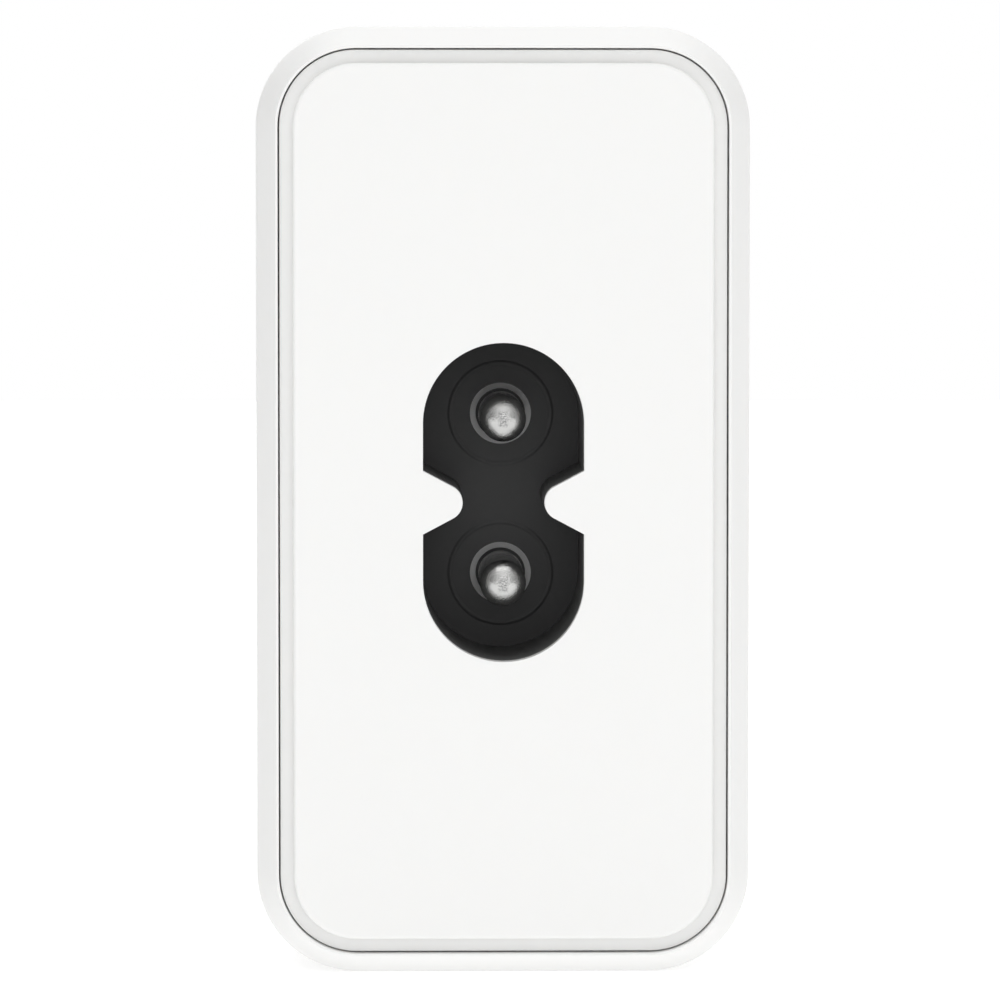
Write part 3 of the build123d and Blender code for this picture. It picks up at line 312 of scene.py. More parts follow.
sleeve_bm = bmesh.new()
shoulder_y = sleeve_low.y + bevel_run
face = rounded_face(sleeve_bm, sleeve_size.x, sleeve_size.z, sleeve_corner, 0.0)
face = push(sleeve_bm, face, -shoulder_y)
face = step_in(sleeve_bm, face, bevel_inset, bevel_run)
face = step_in(sleeve_bm, face, rim_width - bevel_inset)
rebate_y = plate_low.y + rebate_depth
face = push(sleeve_bm, face, sleeve_low.y - rebate_y)
face = step_in(sleeve_bm, face, sleeve_wall - rim_width)
face = push(sleeve_bm, face, rebate_y)
bmesh.ops.delete(sleeve_bm, geom=[face], context="FACES_ONLY")
round_edges(sleeve_bm, creases(sleeve_bm, shoulder_y), bevel_blend, 6)
round_edges(sleeve_bm, creases(sleeve_bm, sleeve_low.y), edge_round, 3)
bmesh.ops.mirror(
    sleeve_bm, geom=sleeve_bm.verts[:] + sleeve_bm.edges[:] + sleeve_bm.faces[:],
    matrix=Matrix.Identity(4), merge_dist=0.001 * mm, axis="Y",
)
bmesh.ops.remove_doubles(sleeve_bm, verts=sleeve_bm.verts, dist=0.001 * mm)
bmesh.ops.recalc_face_normals(sleeve_bm, faces=sleeve_bm.faces)
finish_piece(
    sleeve_bm, "housing_sleeve_shell", stands_for=["housing_sleeve"],
    finish=white_plastic,
)

# ---- Inlet end plate --------------------------------------------------------------------
# A white ABS plate that snaps into the sleeve by a skirt behind it. Its face stands up from a
# narrow ledge round the edge, and the figure-eight mouth of the inlet is cut through its middle.
plate_size = plate_high - plate_low
plate_corner = sleeve_corner - rim_width - 0.08 * mm
ledge_depth = 0.7 * mm
ledge_width = 0.7 * mm
face_round = 0.2 * mm
lip_thickness = 1.0 * mm
seat_clearance = 0.1 * mm
skirt_depth = 4.0 * mm
skirt_wall = 1.2 * mm
skirt_clearance = 0.1 * mm
well_width = 8.38 * mm
well_height = 16.6 * mm
well_wall = 1.0 * mm
neck_width = 4.26 * mm
notch_mouth = 3.3 * mm
notch_slope = radians(28)
mouth_round = 0.12 * mm


def figure_eight(bm, y):
    """The inlet's outline as edges at y: a slot with a round-tipped notch in each long side."""
    half = well_width / 2
    apex = half - notch_mouth / 2 / tan(notch_slope)
    tip = (neck_width / 2 - apex) / (1 / sin(notch_slope) - 1)
    tip_centre = neck_width / 2 + tip
    start = bm.verts.new((0, y, well_height / 2))
    lobe = bmesh.ops.spin(
        bm, geom=[start], cent=(0, y, well_height / 2 - half), axis=(0, 1, 0), angle=pi / 2,
        steps=32, use_merge=False,
    )["geom_last"][0]
    mouth = bm.verts.new((half, y, notch_mouth / 2))
    turn = bm.verts.new((tip_centre - tip * sin(notch_slope), y, tip * cos(notch_slope)))
    bm.edges.new((lobe, mouth))
    bm.edges.new((mouth, turn))
    bmesh.ops.spin(
        bm, geom=[turn], cent=(tip_centre, y, 0), axis=(0, 1, 0), angle=notch_slope - pi / 2,
        steps=12, use_merge=False,
    )
    for axis in ("X", "Z"):
        bmesh.ops.mirror(
            bm, geom=bm.verts[:] + bm.edges[:], matrix=Matrix.Identity(4),
            merge_dist=0.001 * mm, axis=axis,
        )
    bmesh.ops.remove_doubles(bm, verts=bm.verts, dist=0.001 * mm)
    bmesh.ops.translate(bm, vec=(0, 0, mid_z), verts=bm.verts)


def rounded_box(bm, y, width, height, corner, across=0.0):
    """A rounded rectangle as edges at y, its middle across above the block's middle."""
    rounded_face(bm, width, height, corner, y)
    bmesh.ops.translate(bm, vec=(0, 0, across), verts=bm.verts)
    bmesh.ops.delete(bm, geom=bm.faces[:], context="FACES_ONLY")


def disc_outline(bm, y, radius, across=0.0):
    """A circle as edges at y, its middle across above the block's middle."""
    turned = Matrix.Translation((0, y, mid_z + across)) @ Matrix.Rotation(pi / 2, 4, "X")
    bmesh.ops.create_circle(bm, cap_ends=False, segments=64, radius=radius, matrix=turned)


def joined(bm, draw, *sizes):
    """Draws an outline in a bmesh of its own, adds it to this one and returns its edges there."""
    other = bmesh.new()
    draw(other, *sizes)
    carrier = bpy.data.meshes.new("carrier")
    other.to_mesh(carrier)
    other.free()
    before = set(bm.edges)
    bm.from_mesh(carrier)
    bpy.data.meshes.remove(carrier)
    return [edge for edge in bm.edges if edge not in before]


def walls_from(bm, edges, distance):
    """Extrudes outlines along +Y into walls and returns the outlines at their far end."""
    made = bmesh.ops.extrude_edge_only(bm, edges=edges)["geom"]
    bmesh.ops.translate(
        bm, vec=(0, distance, 0), verts=[part for part in made if isinstance(part, bmesh.types.BMVert)]
    )
    ends = {part for part in made if isinstance(part, bmesh.types.BMVert)}
    return [
        part for part in made
        if isinstance(part, bmesh.types.BMEdge) and all(vert in ends for vert in part.verts)
    ]


def fill(bm, edges):
    """Fills between outlines that lie in one plane across the block."""
    bmesh.ops.triangle_fill(bm, use_beauty=True, edges=edges, normal=(0, -1, 0))


def end_plate(openings):
    """A plate at the inlet end; each opening is its mouth's outline and its pocket's outline."""
    y_face = plate_low.y
    y_back = y_face + rebate_depth
    bm = bmesh.new()
    face = rounded_face(bm, plate_size.x, plate_size.z, plate_corner, y_back)
    face = push(bm, face, rebate_depth - ledge_depth)
    face = step_in(bm, face, ledge_width)
    face = push(bm, face, ledge_depth)
    round_edges(bm, creases(bm, y_face), face_round, 6)
    round_edges(bm, creases(bm, y_face + ledge_depth), edge_round, 3)
    top = [f for f in bm.faces if all(abs(v.co.y - y_face) < 0.001 * mm for v in f.verts)]
    bmesh.ops.delete(bm, geom=top, context="FACES_ONLY")
    rim = [e for e in bm.edges if e.is_boundary and abs(e.verts[0].co.y - y_face) < 0.001 * mm]
    back_rim = [e for e in bm.edges if e.is_boundary and abs(e.verts[0].co.y - y_back) < 0.001 * mm]
    mouths = []
    backs = []
    for mouth, pocket in openings:
        mouth_edges = joined(bm, mouth[0], y_face, *mouth[1:])
        mouths += mouth_edges
        lip = walls_from(bm, mouth_edges, lip_thickness)
        if pocket:
            pocket_edges = joined(bm, pocket[0], y_face + lip_thickness, *pocket[1:])
            fill(bm, lip + pocket_edges)
            lip = pocket_edges
        backs += walls_from(bm, lip, rebate_depth - lip_thickness)
    fill(bm, rim + mouths)
    fill(bm, back_rim + backs)
    skirt_size = [side - 2 * (sleeve_wall + skirt_clearance) for side in (sleeve_size.x, sleeve_size.z)]
    skirt_corner = sleeve_corner - sleeve_wall - skirt_clearance
    skirt = joined(bm, rounded_box, y_back, *skirt_size, skirt_corner)
    inner = [side - 2 * skirt_wall for side in skirt_size]
    skirt += joined(bm, rounded_box, y_back, *inner, skirt_corner - skirt_wall)
    fill(bm, walls_from(bm, skirt, skirt_depth))
    bmesh.ops.recalc_face_normals(bm, faces=bm.faces)
    round_edges(bm, creases(bm, y_face, 40.0), mouth_round, 3)
    return bm


pocket_growth = 2 * (well_wall + seat_clearance)
pocket_width = well_width + pocket_growth
inlet_opening = (
    [figure_eight], [rounded_box, pocket_width, well_height + pocket_growth, pocket_width / 2 - 0.01 * mm]
)
finish_piece(
    end_plate([inlet_opening]), "inlet_end_plate_face", stands_for=["inlet_end_plate"],
    finish=white_plastic,
)

# ---- Inlet insulator --------------------------------------------------------------------
# The black well behind the plate's mouth, moulded round the two pins and clamped to the plate by
# its flange. A countersink and a fine raised ring surround each pin on the well's floor.
insulator_low, insulator_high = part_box("inlet_insulator")
well_floor_y = plate_low.y + 10.7 * mm
pin_pitch = 8.6 * mm
recess_radius = 1.625 * mm
recess_depth = 0.5 * mm
recess_floor_radius = 1.335 * mm
countersink_depth = 0.2 * mm
support = 0.02 * mm
ring_radius = 2.85 * mm
ring_line = 0.25 * mm
ring_height = 0.03 * mm
waist_radius = 0.95 * mm


def lathe(bm, profile, across, steps=64):
    """Turns a profile of (radius, y) points round the line along Y at this height."""
    centre = Vector((0, 0, mid_z + across))
    verts = [bm.verts.new((0, y, centre.z + radius)) for radius, y in profile]
    edges = [bm.edges.new(pair) for pair in zip(verts, verts[1:])]
    bmesh.ops.spin(
        bm, geom=verts + edges, cent=centre, axis=(0, 1, 0), angle=2 * pi, steps=steps, use_merge=True
    )
    ends = [v for v in bm.verts if v.is_valid]
    bmesh.ops.remove_doubles(bm, verts=ends, dist=0.0005 * mm)


def ring_at(bm, y, radius, across):
    """The edges of a circle of this radius at y."""
    centre = Vector((0, y, mid_z + across))
    return [
        edge for edge in bm.edges
        if all(abs((vert.co - centre).length - radius) < 0.002 * mm for vert in edge.verts)
        and all(abs(vert.co.y - y) < 0.001 * mm for vert in edge.verts)
    ]


insulator_bm = bmesh.new()
for across in (-pin_pitch / 2, pin_pitch / 2):
    lathe(
        insulator_bm,
        [
            (ring_radius + support, well_floor_y),
            (ring_radius, well_floor_y),
            (ring_radius - 0.3 * ring_line, well_floor_y - ring_height),
            (ring_radius - 0.7 * ring_line, well_floor_y - ring_height),
            (ring_radius - ring_line, well_floor_y),
            (ring_radius - ring_line - support, well_floor_y),
            (recess_radius + 2 * support, well_floor_y),
            (recess_radius + support, well_floor_y),
            (recess_radius, well_floor_y + 0.5 * support),
            (recess_radius - support, well_floor_y + 1.2 * support),
            (recess_floor_radius + support, well_floor_y + countersink_depth - support),
            (recess_floor_radius, well_floor_y + countersink_depth),
            (recess_floor_radius, well_floor_y + countersink_depth + support),
            (recess_floor_radius, well_floor_y + recess_depth),
            (waist_radius, well_floor_y + recess_depth),
            (waist_radius, insulator_high.y),
        ],
        across,
    )
floor_rings = []
back_rings = []
for across in (-pin_pitch / 2, pin_pitch / 2):
    floor_rings += ring_at(insulator_bm, well_floor_y, ring_radius + support, across)
    back_rings += ring_at(insulator_bm, insulator_high.y, waist_radius, across)
body_width = well_width + 2 * well_wall
mouth = joined(insulator_bm, figure_eight, insulator_low.y)
shell = joined(
    insulator_bm, rounded_box, insulator_low.y, body_width, well_height + 2 * well_wall,
    body_width / 2 - 0.01 * mm,
)
well_end = walls_from(insulator_bm, mouth, well_floor_y - insulator_low.y)
shell_end = walls_from(insulator_bm, shell, insulator_high.y - insulator_low.y)
fill(insulator_bm, mouth + shell)
fill(insulator_bm, well_end + floor_rings)
fill(insulator_bm, shell_end + back_rings)
flange_y = plate_low.y + rebate_depth
flange = joined(insulator_bm, rounded_box, flange_y, 13.4 * mm, 21.8 * mm, 2.0 * mm)
flange += joined(
    insulator_bm, rounded_box, flange_y, body_width, well_height + 2 * well_wall,
    body_width / 2 - 0.01 * mm,
)
fill(insulator_bm, walls_from(insulator_bm, flange, 1.2 * mm))
fill(insulator_bm, flange)
bmesh.ops.remove_doubles(insulator_bm, verts=insulator_bm.verts, dist=0.0005 * mm)
bmesh.ops.recalc_face_normals(insulator_bm, faces=insulator_bm.faces)


def shader_value(tree, operation, first, second=0.5, third=0.5, clamp=False):
    """A Math node in a shader; each value is a number or a socket."""
    node = tree.nodes.new("ShaderNodeMath")
    node.operation = operation
    node.use_clamp = clamp
    for socket, value in zip(node.inputs, (first, second, third)):
        if isinstance(value, (int, float)):
            socket.default_value = value
        else:
            tree.links.new(value, socket)
    return node.outputs["Value"]


def colour_mix(tree, factor, first, second):
    """Mixes two colours; each is three numbers or a socket."""
    node = tree.nodes.new("ShaderNodeMix")
    node.data_type = "RGBA"
    tree.links.new(factor, node.inputs["Factor"])
    for socket, value in ((node.inputs["A"], first), (node.inputs["B"], second)):
        if isinstance(value, tuple):
            socket.default_value = (*value, 1.0)
        else:
            tree.links.new(value, socket)
    return node.outputs["Result"]


def object_place(tree):
    """The object coordinates in metres, split into X, Y and Z."""
    place = tree.nodes.new("ShaderNodeTexCoord")
    split_place = tree.nodes.new("ShaderNodeSeparateXYZ")
    tree.links.new(place.outputs["Object"], split_place.inputs["Vector"])
    return [split_place.outputs[axis] for axis in "XYZ"]


def smooth_step(tree, value, low, high):
    """0 below low, 1 above high and smooth between; low may be the larger for the reverse."""
    node = tree.nodes.new("ShaderNodeMapRange")
    node.interpolation_type = "SMOOTHSTEP"
    node.inputs["From Min"].default_value = min(low, high)
    node.inputs["From Max"].default_value = max(low, high)
    node.inputs["To Min"].default_value = 0.0 if low < high else 1.0
    node.inputs["To Max"].default_value = 1.0 if low < high else 0.0
    tree.links.new(value, node.inputs["Value"])
    return node.outputs["Result"]


def speckle(tree, scale, low, high, detail=2.0):
    """Scattered patches: noise cut between two levels."""
    place = tree.nodes.new("ShaderNodeTexCoord")
    noise = tree.nodes.new("ShaderNodeTexNoise")
    noise.inputs["Scale"].default_value = scale
    noise.inputs["Detail"].default_value = detail
    tree.links.new(place.outputs["Object"], noise.inputs["Vector"])
    return smooth_step(tree, noise.outputs["Fac"], low, high)


inlet_black = moulded_plastic(
    "black_inlet_moulding", (0.030, 0.030, 0.031), 0.45, shade=0.8, grain_scale=7000.0, grain_depth=0.006
)
black_tree = inlet_black.node_tree
black_shader = black_tree.nodes["Principled BSDF"]
grained = black_shader.inputs["Base Color"].links[0].from_socket
x, y, z = object_place(black_tree)
above = shader_value(black_tree, "ABSOLUTE", shader_value(black_tree, "SUBTRACT", z, mid_z))
from_pin = shader_value(black_tree, "SUBTRACT", above, pin_pitch / 2)
pin_distance = shader_value(
    black_tree, "SQRT",
    shader_value(
        black_tree, "ADD",
        shader_value(black_tree, "MULTIPLY", x, x),
        shader_value(black_tree, "MULTIPLY", from_pin, from_pin),
    ),
)
# painted reflection: the countersinks get a light grey colour that stands in for the light their chamfers
# reflect
painted_countersink_sheen = shader_value(
    black_tree, "MULTIPLY",
    smooth_step(black_tree, pin_distance, recess_radius + 0.03 * mm, recess_radius),
    smooth_step(black_tree, pin_distance, recess_floor_radius - 0.01 * mm, recess_floor_radius + 0.01 * mm),
)
# the well's sides get painted light, a lighter colour where they stand in shade, and plugs have scuffed them
# here and there
walls_with_painted_light_and_scuffs = smooth_step(black_tree, y, well_floor_y - 0.02 * mm, well_floor_y - 0.12 * mm)
scuffed = shader_value(
    black_tree, "MULTIPLY",
    shader_value(black_tree, "MULTIPLY", walls_with_painted_light_and_scuffs, speckle(black_tree, 6500.0, 0.66, 0.70, 3.0)),
    speckle(black_tree, 420.0, 0.52, 0.60),
)
# painted light: the well's sides are lightened to 0.13 against the floor's 0.03
base = colour_mix(black_tree, walls_with_painted_light_and_scuffs, grained, (0.13, 0.13, 0.13))
# painted reflection on the countersink chamfers
base = colour_mix(black_tree, painted_countersink_sheen, base, (0.72, 0.72, 0.72))
base = colour_mix(black_tree, scuffed, base, (0.45, 0.45, 0.45))
black_tree.links.new(base, black_shader.inputs["Base Color"])
finish_piece(
    insulator_bm, "inlet_insulator_well", stands_for=["inlet_insulator"],
    finish=inlet_black,
)

# ---- Contact pins -----------------------------------------------------------------------
# Two nickel-plated brass pins, turned with a domed tip. The insulator is moulded round each
# one's waist; a collar stops it behind, and a thinner tail turns down to the board.
pin_radius = 1.2 * mm
pin_tip_y = plate_low.y + 1.2 * mm
waist_y = well_floor_y + 0.15 * mm
collar_radius = 1.8 * mm
collar_thickness = 0.6 * mm
tail_radius = 0.6 * mm
tail_run = 1.8 * mm
tail_bend = 1.08 * mm
rolled = bpy.data.node_groups.new("drawn metal", "ShaderNodeTree")
group_socket(rolled, "Stretch", "NodeSocketVector", "INPUT", (4000.0, 300.0, 4000.0))
group_socket(rolled, "Lines", "NodeSocketFloat", "OUTPUT")
group_socket(rolled, "Tarnish", "NodeSocketFloat", "OUTPUT")
rolled_in = rolled.nodes.new("NodeGroupInput")
rolled_out = rolled.nodes.new("NodeGroupOutput")
rolled_place = rolled.nodes.new("ShaderNodeTexCoord")
rolled_scale = rolled.nodes.new("ShaderNodeVectorMath")
rolled_scale.operation = "MULTIPLY"
rolled_fine = rolled.nodes.new("ShaderNodeTexNoise")
rolled_fine.inputs["Scale"].default_value = 1.0
rolled_fine.inputs["Detail"].default_value = 4.0
rolled_slow = rolled.nodes.new("ShaderNodeTexNoise")
rolled_slow.inputs["Scale"].default_value = 500.0
rolled_slow.inputs["Detail"].default_value = 3.0
rolled.links.new(rolled_place.outputs["Object"], rolled_scale.inputs[0])
rolled.links.new(rolled_in.outputs["Stretch"], rolled_scale.inputs[1])
rolled.links.new(rolled_scale.outputs["Vector"], rolled_fine.inputs["Vector"])
rolled.links.new(rolled_place.outputs["Object"], rolled_slow.inputs["Vector"])
rolled.links.new(rolled_fine.outputs["Fac"], rolled_out.inputs["Lines"])
rolled.links.new(rolled_slow.outputs["Fac"], rolled_out.inputs["Tarnish"])


def bare_metal(name, colour, roughness, stretch, tarnish=0.8, relief=0.003, spread=0.08):
    """Metal with fine drawn or rolled lines, its colour dulled in soft patches."""
    finish = bpy.data.materials.new(name)
    finish.use_nodes = True
    tree = finish.node_tree
    shader = tree.nodes["Principled BSDF"]
    shader.inputs["Metallic"].default_value = 1.0
    lines = tree.nodes.new("ShaderNodeGroup")
    lines.node_tree = rolled
    lines.inputs["Stretch"].default_value = stretch
    dulled = tuple(channel * tarnish for channel in colour)
    tree.links.new(colour_mix(tree, lines.outputs["Tarnish"], dulled, colour), shader.inputs["Base Color"])
    gloss = tree.nodes.new("ShaderNodeMapRange")
    gloss.inputs["To Min"].default_value = roughness - spread
    gloss.inputs["To Max"].default_value = roughness + spread
    tree.links.new(lines.outputs["Lines"], gloss.inputs["Value"])
    tree.links.new(gloss.outputs["Result"], shader.inputs["Roughness"])
    bump = tree.nodes.new("ShaderNodeBump")
    bump.inputs["Strength"].default_value = 0.5
    bump.inputs["Distance"].default_value = relief * mm
    tree.links.new(lines.outputs["Lines"], bump.inputs["Height"])
    tree.links.new(bump.outputs["Normal"], shader.inputs["Normal"])
    return finish


pin_nickel = bare_metal(
    "nickel_pin", (0.60, 0.60, 0.59), 0.23, stretch=(9000.0, 9000.0, 9000.0), relief=0.038, spread=0.1
)
pin_tree = pin_nickel.node_tree
pin_shader = pin_tree.nodes["Principled BSDF"]
plating = pin_shader.inputs["Base Color"].links[0].from_socket
# painted reflection: a dark sandy patch on the middle of each tip stands in for the camera's dark
# reflection, broken up by the plating's grain
x, y, z = object_place(pin_tree)
aside = shader_value(pin_tree, "ABSOLUTE", x)
above = shader_value(pin_tree, "ABSOLUTE", shader_value(pin_tree, "SUBTRACT", z, mid_z))
along = shader_value(pin_tree, "ABSOLUTE", shader_value(pin_tree, "SUBTRACT", above, pin_pitch / 2))
tip_reflection_spot = shader_value(
    pin_tree, "MULTIPLY",
    smooth_step(pin_tree, aside, 0.32 * mm, 0.14 * mm),
    smooth_step(pin_tree, along, 0.50 * mm, 0.30 * mm),
)
painted_tip_reflection = shader_value(pin_tree, "MULTIPLY", tip_reflection_spot, speckle(pin_tree, 18000.0, 0.40, 0.58, 3.0))
painted_reflection_grey = (0.24, 0.24, 0.24)
pin_tree.links.new(colour_mix(pin_tree, painted_tip_reflection, plating, painted_reflection_grey), pin_shader.inputs["Base Color"])
tip_height = 0.84 * mm
dome_radius = (tip_height**2 + pin_radius**2) / (2 * tip_height)
dome_turn = asin(pin_radius / dome_radius)
dome = [
    (dome_radius * sin(turn), pin_tip_y + dome_radius * (1 - cos(turn)))
    for turn in [dome_turn * step / 20 for step in range(21)]
]
for node_name, across in (("line_pin", pin_pitch / 2), ("neutral_pin", -pin_pitch / 2)):
    pin_bm = bmesh.new()
    collar_y = insulator_high.y
    lathe(
        pin_bm,
        dome + [
            (pin_radius, pin_tip_y + tip_height + 0.04 * mm),
            (pin_radius, waist_y - 0.05 * mm),
            (pin_radius - 0.03 * mm, waist_y),
            (waist_radius - 0.01 * mm, waist_y),
            (waist_radius - 0.01 * mm, collar_y),
            (collar_radius - 0.05 * mm, collar_y),
            (collar_radius, collar_y + 0.05 * mm),
            (collar_radius, collar_y + collar_thickness - 0.05 * mm),
            (collar_radius - 0.05 * mm, collar_y + collar_thickness),
            (tail_radius, collar_y + collar_thickness),
        ],
        across, steps=96,
    )
    start_y = collar_y + collar_thickness
    ring = ring_at(pin_bm, start_y, tail_radius, across)
    ring = walls_from(pin_bm, ring, tail_run - tail_bend)
    bend = bmesh.ops.spin(
        pin_bm, geom=ring, cent=(-tail_bend, start_y + tail_run - tail_bend, mid_z + across),
        axis=(0, 0, 1), angle=pi / 2, steps=10, use_merge=False,
    )["geom_last"]
    ring = [part for part in bend if isinstance(part, bmesh.types.BMEdge)]
    drop = bmesh.ops.extrude_edge_only(pin_bm, edges=ring)["geom"]
    drop_verts = [part for part in drop if isinstance(part, bmesh.types.BMVert)]
    tail_end_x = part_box(node_name)[0].x
    bmesh.ops.translate(pin_bm, vec=(tail_end_x - drop_verts[0].co.x, 0, 0), verts=drop_verts)
    bmesh.ops.holes_fill(pin_bm, edges=[e for e in pin_bm.edges if e.is_boundary], sides=0)
    bmesh.ops.remove_doubles(pin_bm, verts=pin_bm.verts, dist=0.0005 * mm)
    bmesh.ops.recalc_face_normals(pin_bm, faces=pin_bm.faces)
    finish_piece(
        pin_bm, node_name + "_contact", stands_for=[node_name], finish=pin_nickel
    )

# ---- Output end plate -------------------------------------------------------------------
# The same white plate at the other end, with two windows for the network jacks and a small
# round hole for the light pipe. The lip round each window hides the edge of its jack.
jack_low, jack_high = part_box("poe_jack_shield")
jack_size = jack_high - jack_low
window_overlap = 0.6 * mm
window_corner = 0.5 * mm
pipe_low, pipe_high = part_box("light_pipe")
jack_openings = []
for node_name in ("poe_jack_housing", "lan_jack_housing"):
    low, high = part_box(node_name)
    jack_across = (low.z + high.z) / 2 - mid_z
    window = [
        rounded_box, 13.4 * mm - 2 * window_overlap, jack_size.z - 2 * window_overlap, window_corner,
        jack_across,
    ]
    pocket = [
        rounded_box, 13.4 * mm + 2 * seat_clearance, jack_size.z + 2 * seat_clearance, 0.1 * mm,
        jack_across,
    ]
    jack_openings.append((window, pocket))
light_across = (pipe_low.z + pipe_high.z) / 2 - mid_z
light_radius = 1.12 * mm
jack_openings.append(([disc_outline, light_radius, light_across], None))
output_bm = end_plate(jack_openings)
bmesh.ops.rotate(
    output_bm, cent=(0, 0, 0), matrix=Matrix.Rotation(pi, 3, "Z"), verts=output_bm.verts
)
finish_piece(
    output_bm, "output_end_plate_face", stands_for=["output_end_plate"],
    finish=white_plastic,
)

# ---- Network jacks ----------------------------------------------------------------------
# Two eight-contact jacks: a black moulded housing in a folded nickel-plated shield, with
# gold-plated spring wires that slope down into the port from slots in its ceiling.
jack_black = moulded_plastic(
    "black_jack_moulding", (0.032, 0.032, 0.034), 0.42, shade=0.85, grain_scale=5000.0, grain_depth=0.008
)
shield_nickel = bare_metal(
    "nickel_shield", (0.62, 0.62, 0.61), 0.32, (600.0, 6000.0, 600.0), 0.88, 0.002, 0.07
)
contact_gold = bare_metal(
    "gold_contact", (0.86, 0.64, 0.30), 0.22, (5000.0, 500.0, 5000.0), 0.9, 0.001, 0.05
)


def cad_copy(*names):
    """A bmesh with merged copies of these CAD nodes, their flat faces in one piece each."""
    bm = bmesh.new()
    for name in names:
        source = nodes[name].data
        verts = [bm.verts.new(vert.co) for vert in source.vertices]
        for polygon in source.polygons:
            bm.faces.new([verts[index] for index in polygon.vertices])
    bmesh.ops.remove_doubles(bm, verts=bm.verts, dist=0.001 * mm)
    bmesh.ops.dissolve_limit(
        bm, angle_limit=radians(1.0), use_dissolve_boundaries=False, verts=bm.verts[:],
        edges=bm.edges[:], delimit=set(),
    )
    return bm


def softened(names, piece_name, finish, radius, low=40.0):
    """A CAD part carried over with its sharp edges rounded a little."""
    bm = cad_copy(*names)
    sharp = [
        edge for edge in bm.edges
        if len(edge.link_faces) == 2 and edge.calc_face_angle() > radians(low)
    ]
    if radius:
        round_edges(bm, sharp, radius, 2)
    bmesh.ops.recalc_face_normals(bm, faces=bm.faces)
    return finish_piece(bm, piece_name, stands_for=list(names), finish=finish)


for jack in ("poe_jack", "lan_jack"):
    softened([jack + "_housing"], jack + "_moulding", jack_black, 0.08 * mm)
    softened([jack + "_shield"], jack + "_sheet_shield", shield_nickel, 0.04 * mm)
    softened([jack + "_contacts"], jack + "_spring_wires", contact_gold, 0.0)

# ---- Status light -----------------------------------------------------------------------
# A clear polycarbonate light pipe pressed through the plate from behind, in front of a small
# green-tinted light-emitting diode that sits in a black holder on the board.
pipe_clear = moulded_plastic(
    "clear_pipe", (0.92, 0.96, 0.92), 0.12, shade=0.98, grain_scale=3000.0, grain_depth=0.002,
    roughness_spread=0.04,
)
pipe_shader = pipe_clear.node_tree.nodes["Principled BSDF"]
pipe_shader.inputs["Transmission Weight"].default_value = 0.9
pipe_shader.inputs["IOR"].default_value = 1.58
led_lens = moulded_plastic(
    "tinted_lens", (0.45, 0.75, 0.42), 0.25, shade=0.9, grain_scale=3000.0, grain_depth=0.003
)
led_lens.node_tree.nodes["Principled BSDF"].inputs["Transmission Weight"].default_value = 0.5
softened(["light_pipe"], "light_pipe_clear", pipe_clear, 0.05 * mm)
softened(["status_led"], "status_led_lens", led_lens, 0.0)

# ---- Parts on the board -----------------------------------------------------------------
# The mains filter, bulk capacitors, transformer, heat sinks and output parts, soldered through
# a green laminate. Windings show their turns, and plain parts the grain of how they were made.
turns = bpy.data.node_groups.new("wound turns", "ShaderNodeTree")
group_socket(turns, "Phase", "NodeSocketFloat", "INPUT", 0.0)
group_socket(turns, "Height", "NodeSocketFloat", "OUTPUT")
turns_in = turns.nodes.new("NodeGroupInput")
turns_out = turns.nodes.new("NodeGroupOutput")
turn_wave = shader_value(turns, "ABSOLUTE", shader_value(turns, "SINE", turns_in.outputs["Phase"]))
turns.links.new(shader_value(turns, "POWER", turn_wave, 0.6), turns_out.inputs["Height"])

copper_wire = moulded_plastic(
    "enamelled_copper", (0.62, 0.24, 0.09), 0.28, shade=0.8, grain_scale=2500.0, grain_depth=0.003,
    specular=0.7,
)
copper_tree = copper_wire.node_tree
copper_shader = copper_tree.nodes["Principled BSDF"]
copper_shader.inputs["Metallic"].default_value = 0.6
copper_shader.inputs["Coat Weight"].default_value = 0.6
x, y, z = object_place(copper_tree)
choke_low, choke_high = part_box("choke_core")
choke_middle = (choke_low + choke_high) / 2
round_choke = shader_value(
    copper_tree, "ARCTAN2",
    shader_value(copper_tree, "SUBTRACT", z, choke_middle.z),
    shader_value(copper_tree, "SUBTRACT", x, choke_middle.x),
)
choke_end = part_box("choke_windings")[1].y
on_choke = smooth_step(copper_tree, y, choke_end + 0.6 * mm, choke_end)
drum_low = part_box("output_choke_winding")[0]
on_drum = smooth_step(copper_tree, y, drum_low.y - 0.6 * mm, drum_low.y)
wire_pitch = 0.55 * mm
choke_turns = 64.0
along_phase = shader_value(copper_tree, "MULTIPLY", y, pi / wire_pitch)
drum_phase = shader_value(copper_tree, "MULTIPLY", x, pi / wire_pitch)
choke_phase = shader_value(copper_tree, "MULTIPLY", round_choke, choke_turns / 2)


def value_mix(tree, factor, first, second):
    """Mixes two numbers by a factor."""
    node = tree.nodes.new("ShaderNodeMix")
    tree.links.new(factor, node.inputs["Factor"])
    tree.links.new(first, node.inputs["A"])
    tree.links.new(second, node.inputs["B"])
    return node.outputs["Result"]


phase = value_mix(copper_tree, on_choke, along_phase, choke_phase)
phase = value_mix(copper_tree, on_drum, phase, drum_phase)
wound = copper_tree.nodes.new("ShaderNodeGroup")
wound.node_tree = turns
copper_tree.links.new(phase, wound.inputs["Phase"])
wire_bump = copper_tree.nodes.new("ShaderNodeBump")
wire_bump.inputs["Strength"].default_value = 0.9
wire_bump.inputs["Distance"].default_value = 0.15 * mm
copper_tree.links.new(wound.outputs["Height"], wire_bump.inputs["Height"])
copper_tree.links.new(wire_bump.outputs["Normal"], copper_shader.inputs["Normal"])
wire_colour = copper_shader.inputs["Base Color"].links[0].from_socket
# painted shade: the wire's colour darkens to dark brown in the grooves between turns, where the bump is low
copper_tree.links.new(
    colour_mix(copper_tree, wound.outputs["Height"], (0.16, 0.05, 0.02), wire_colour),
    copper_shader.inputs["Base Color"],
)

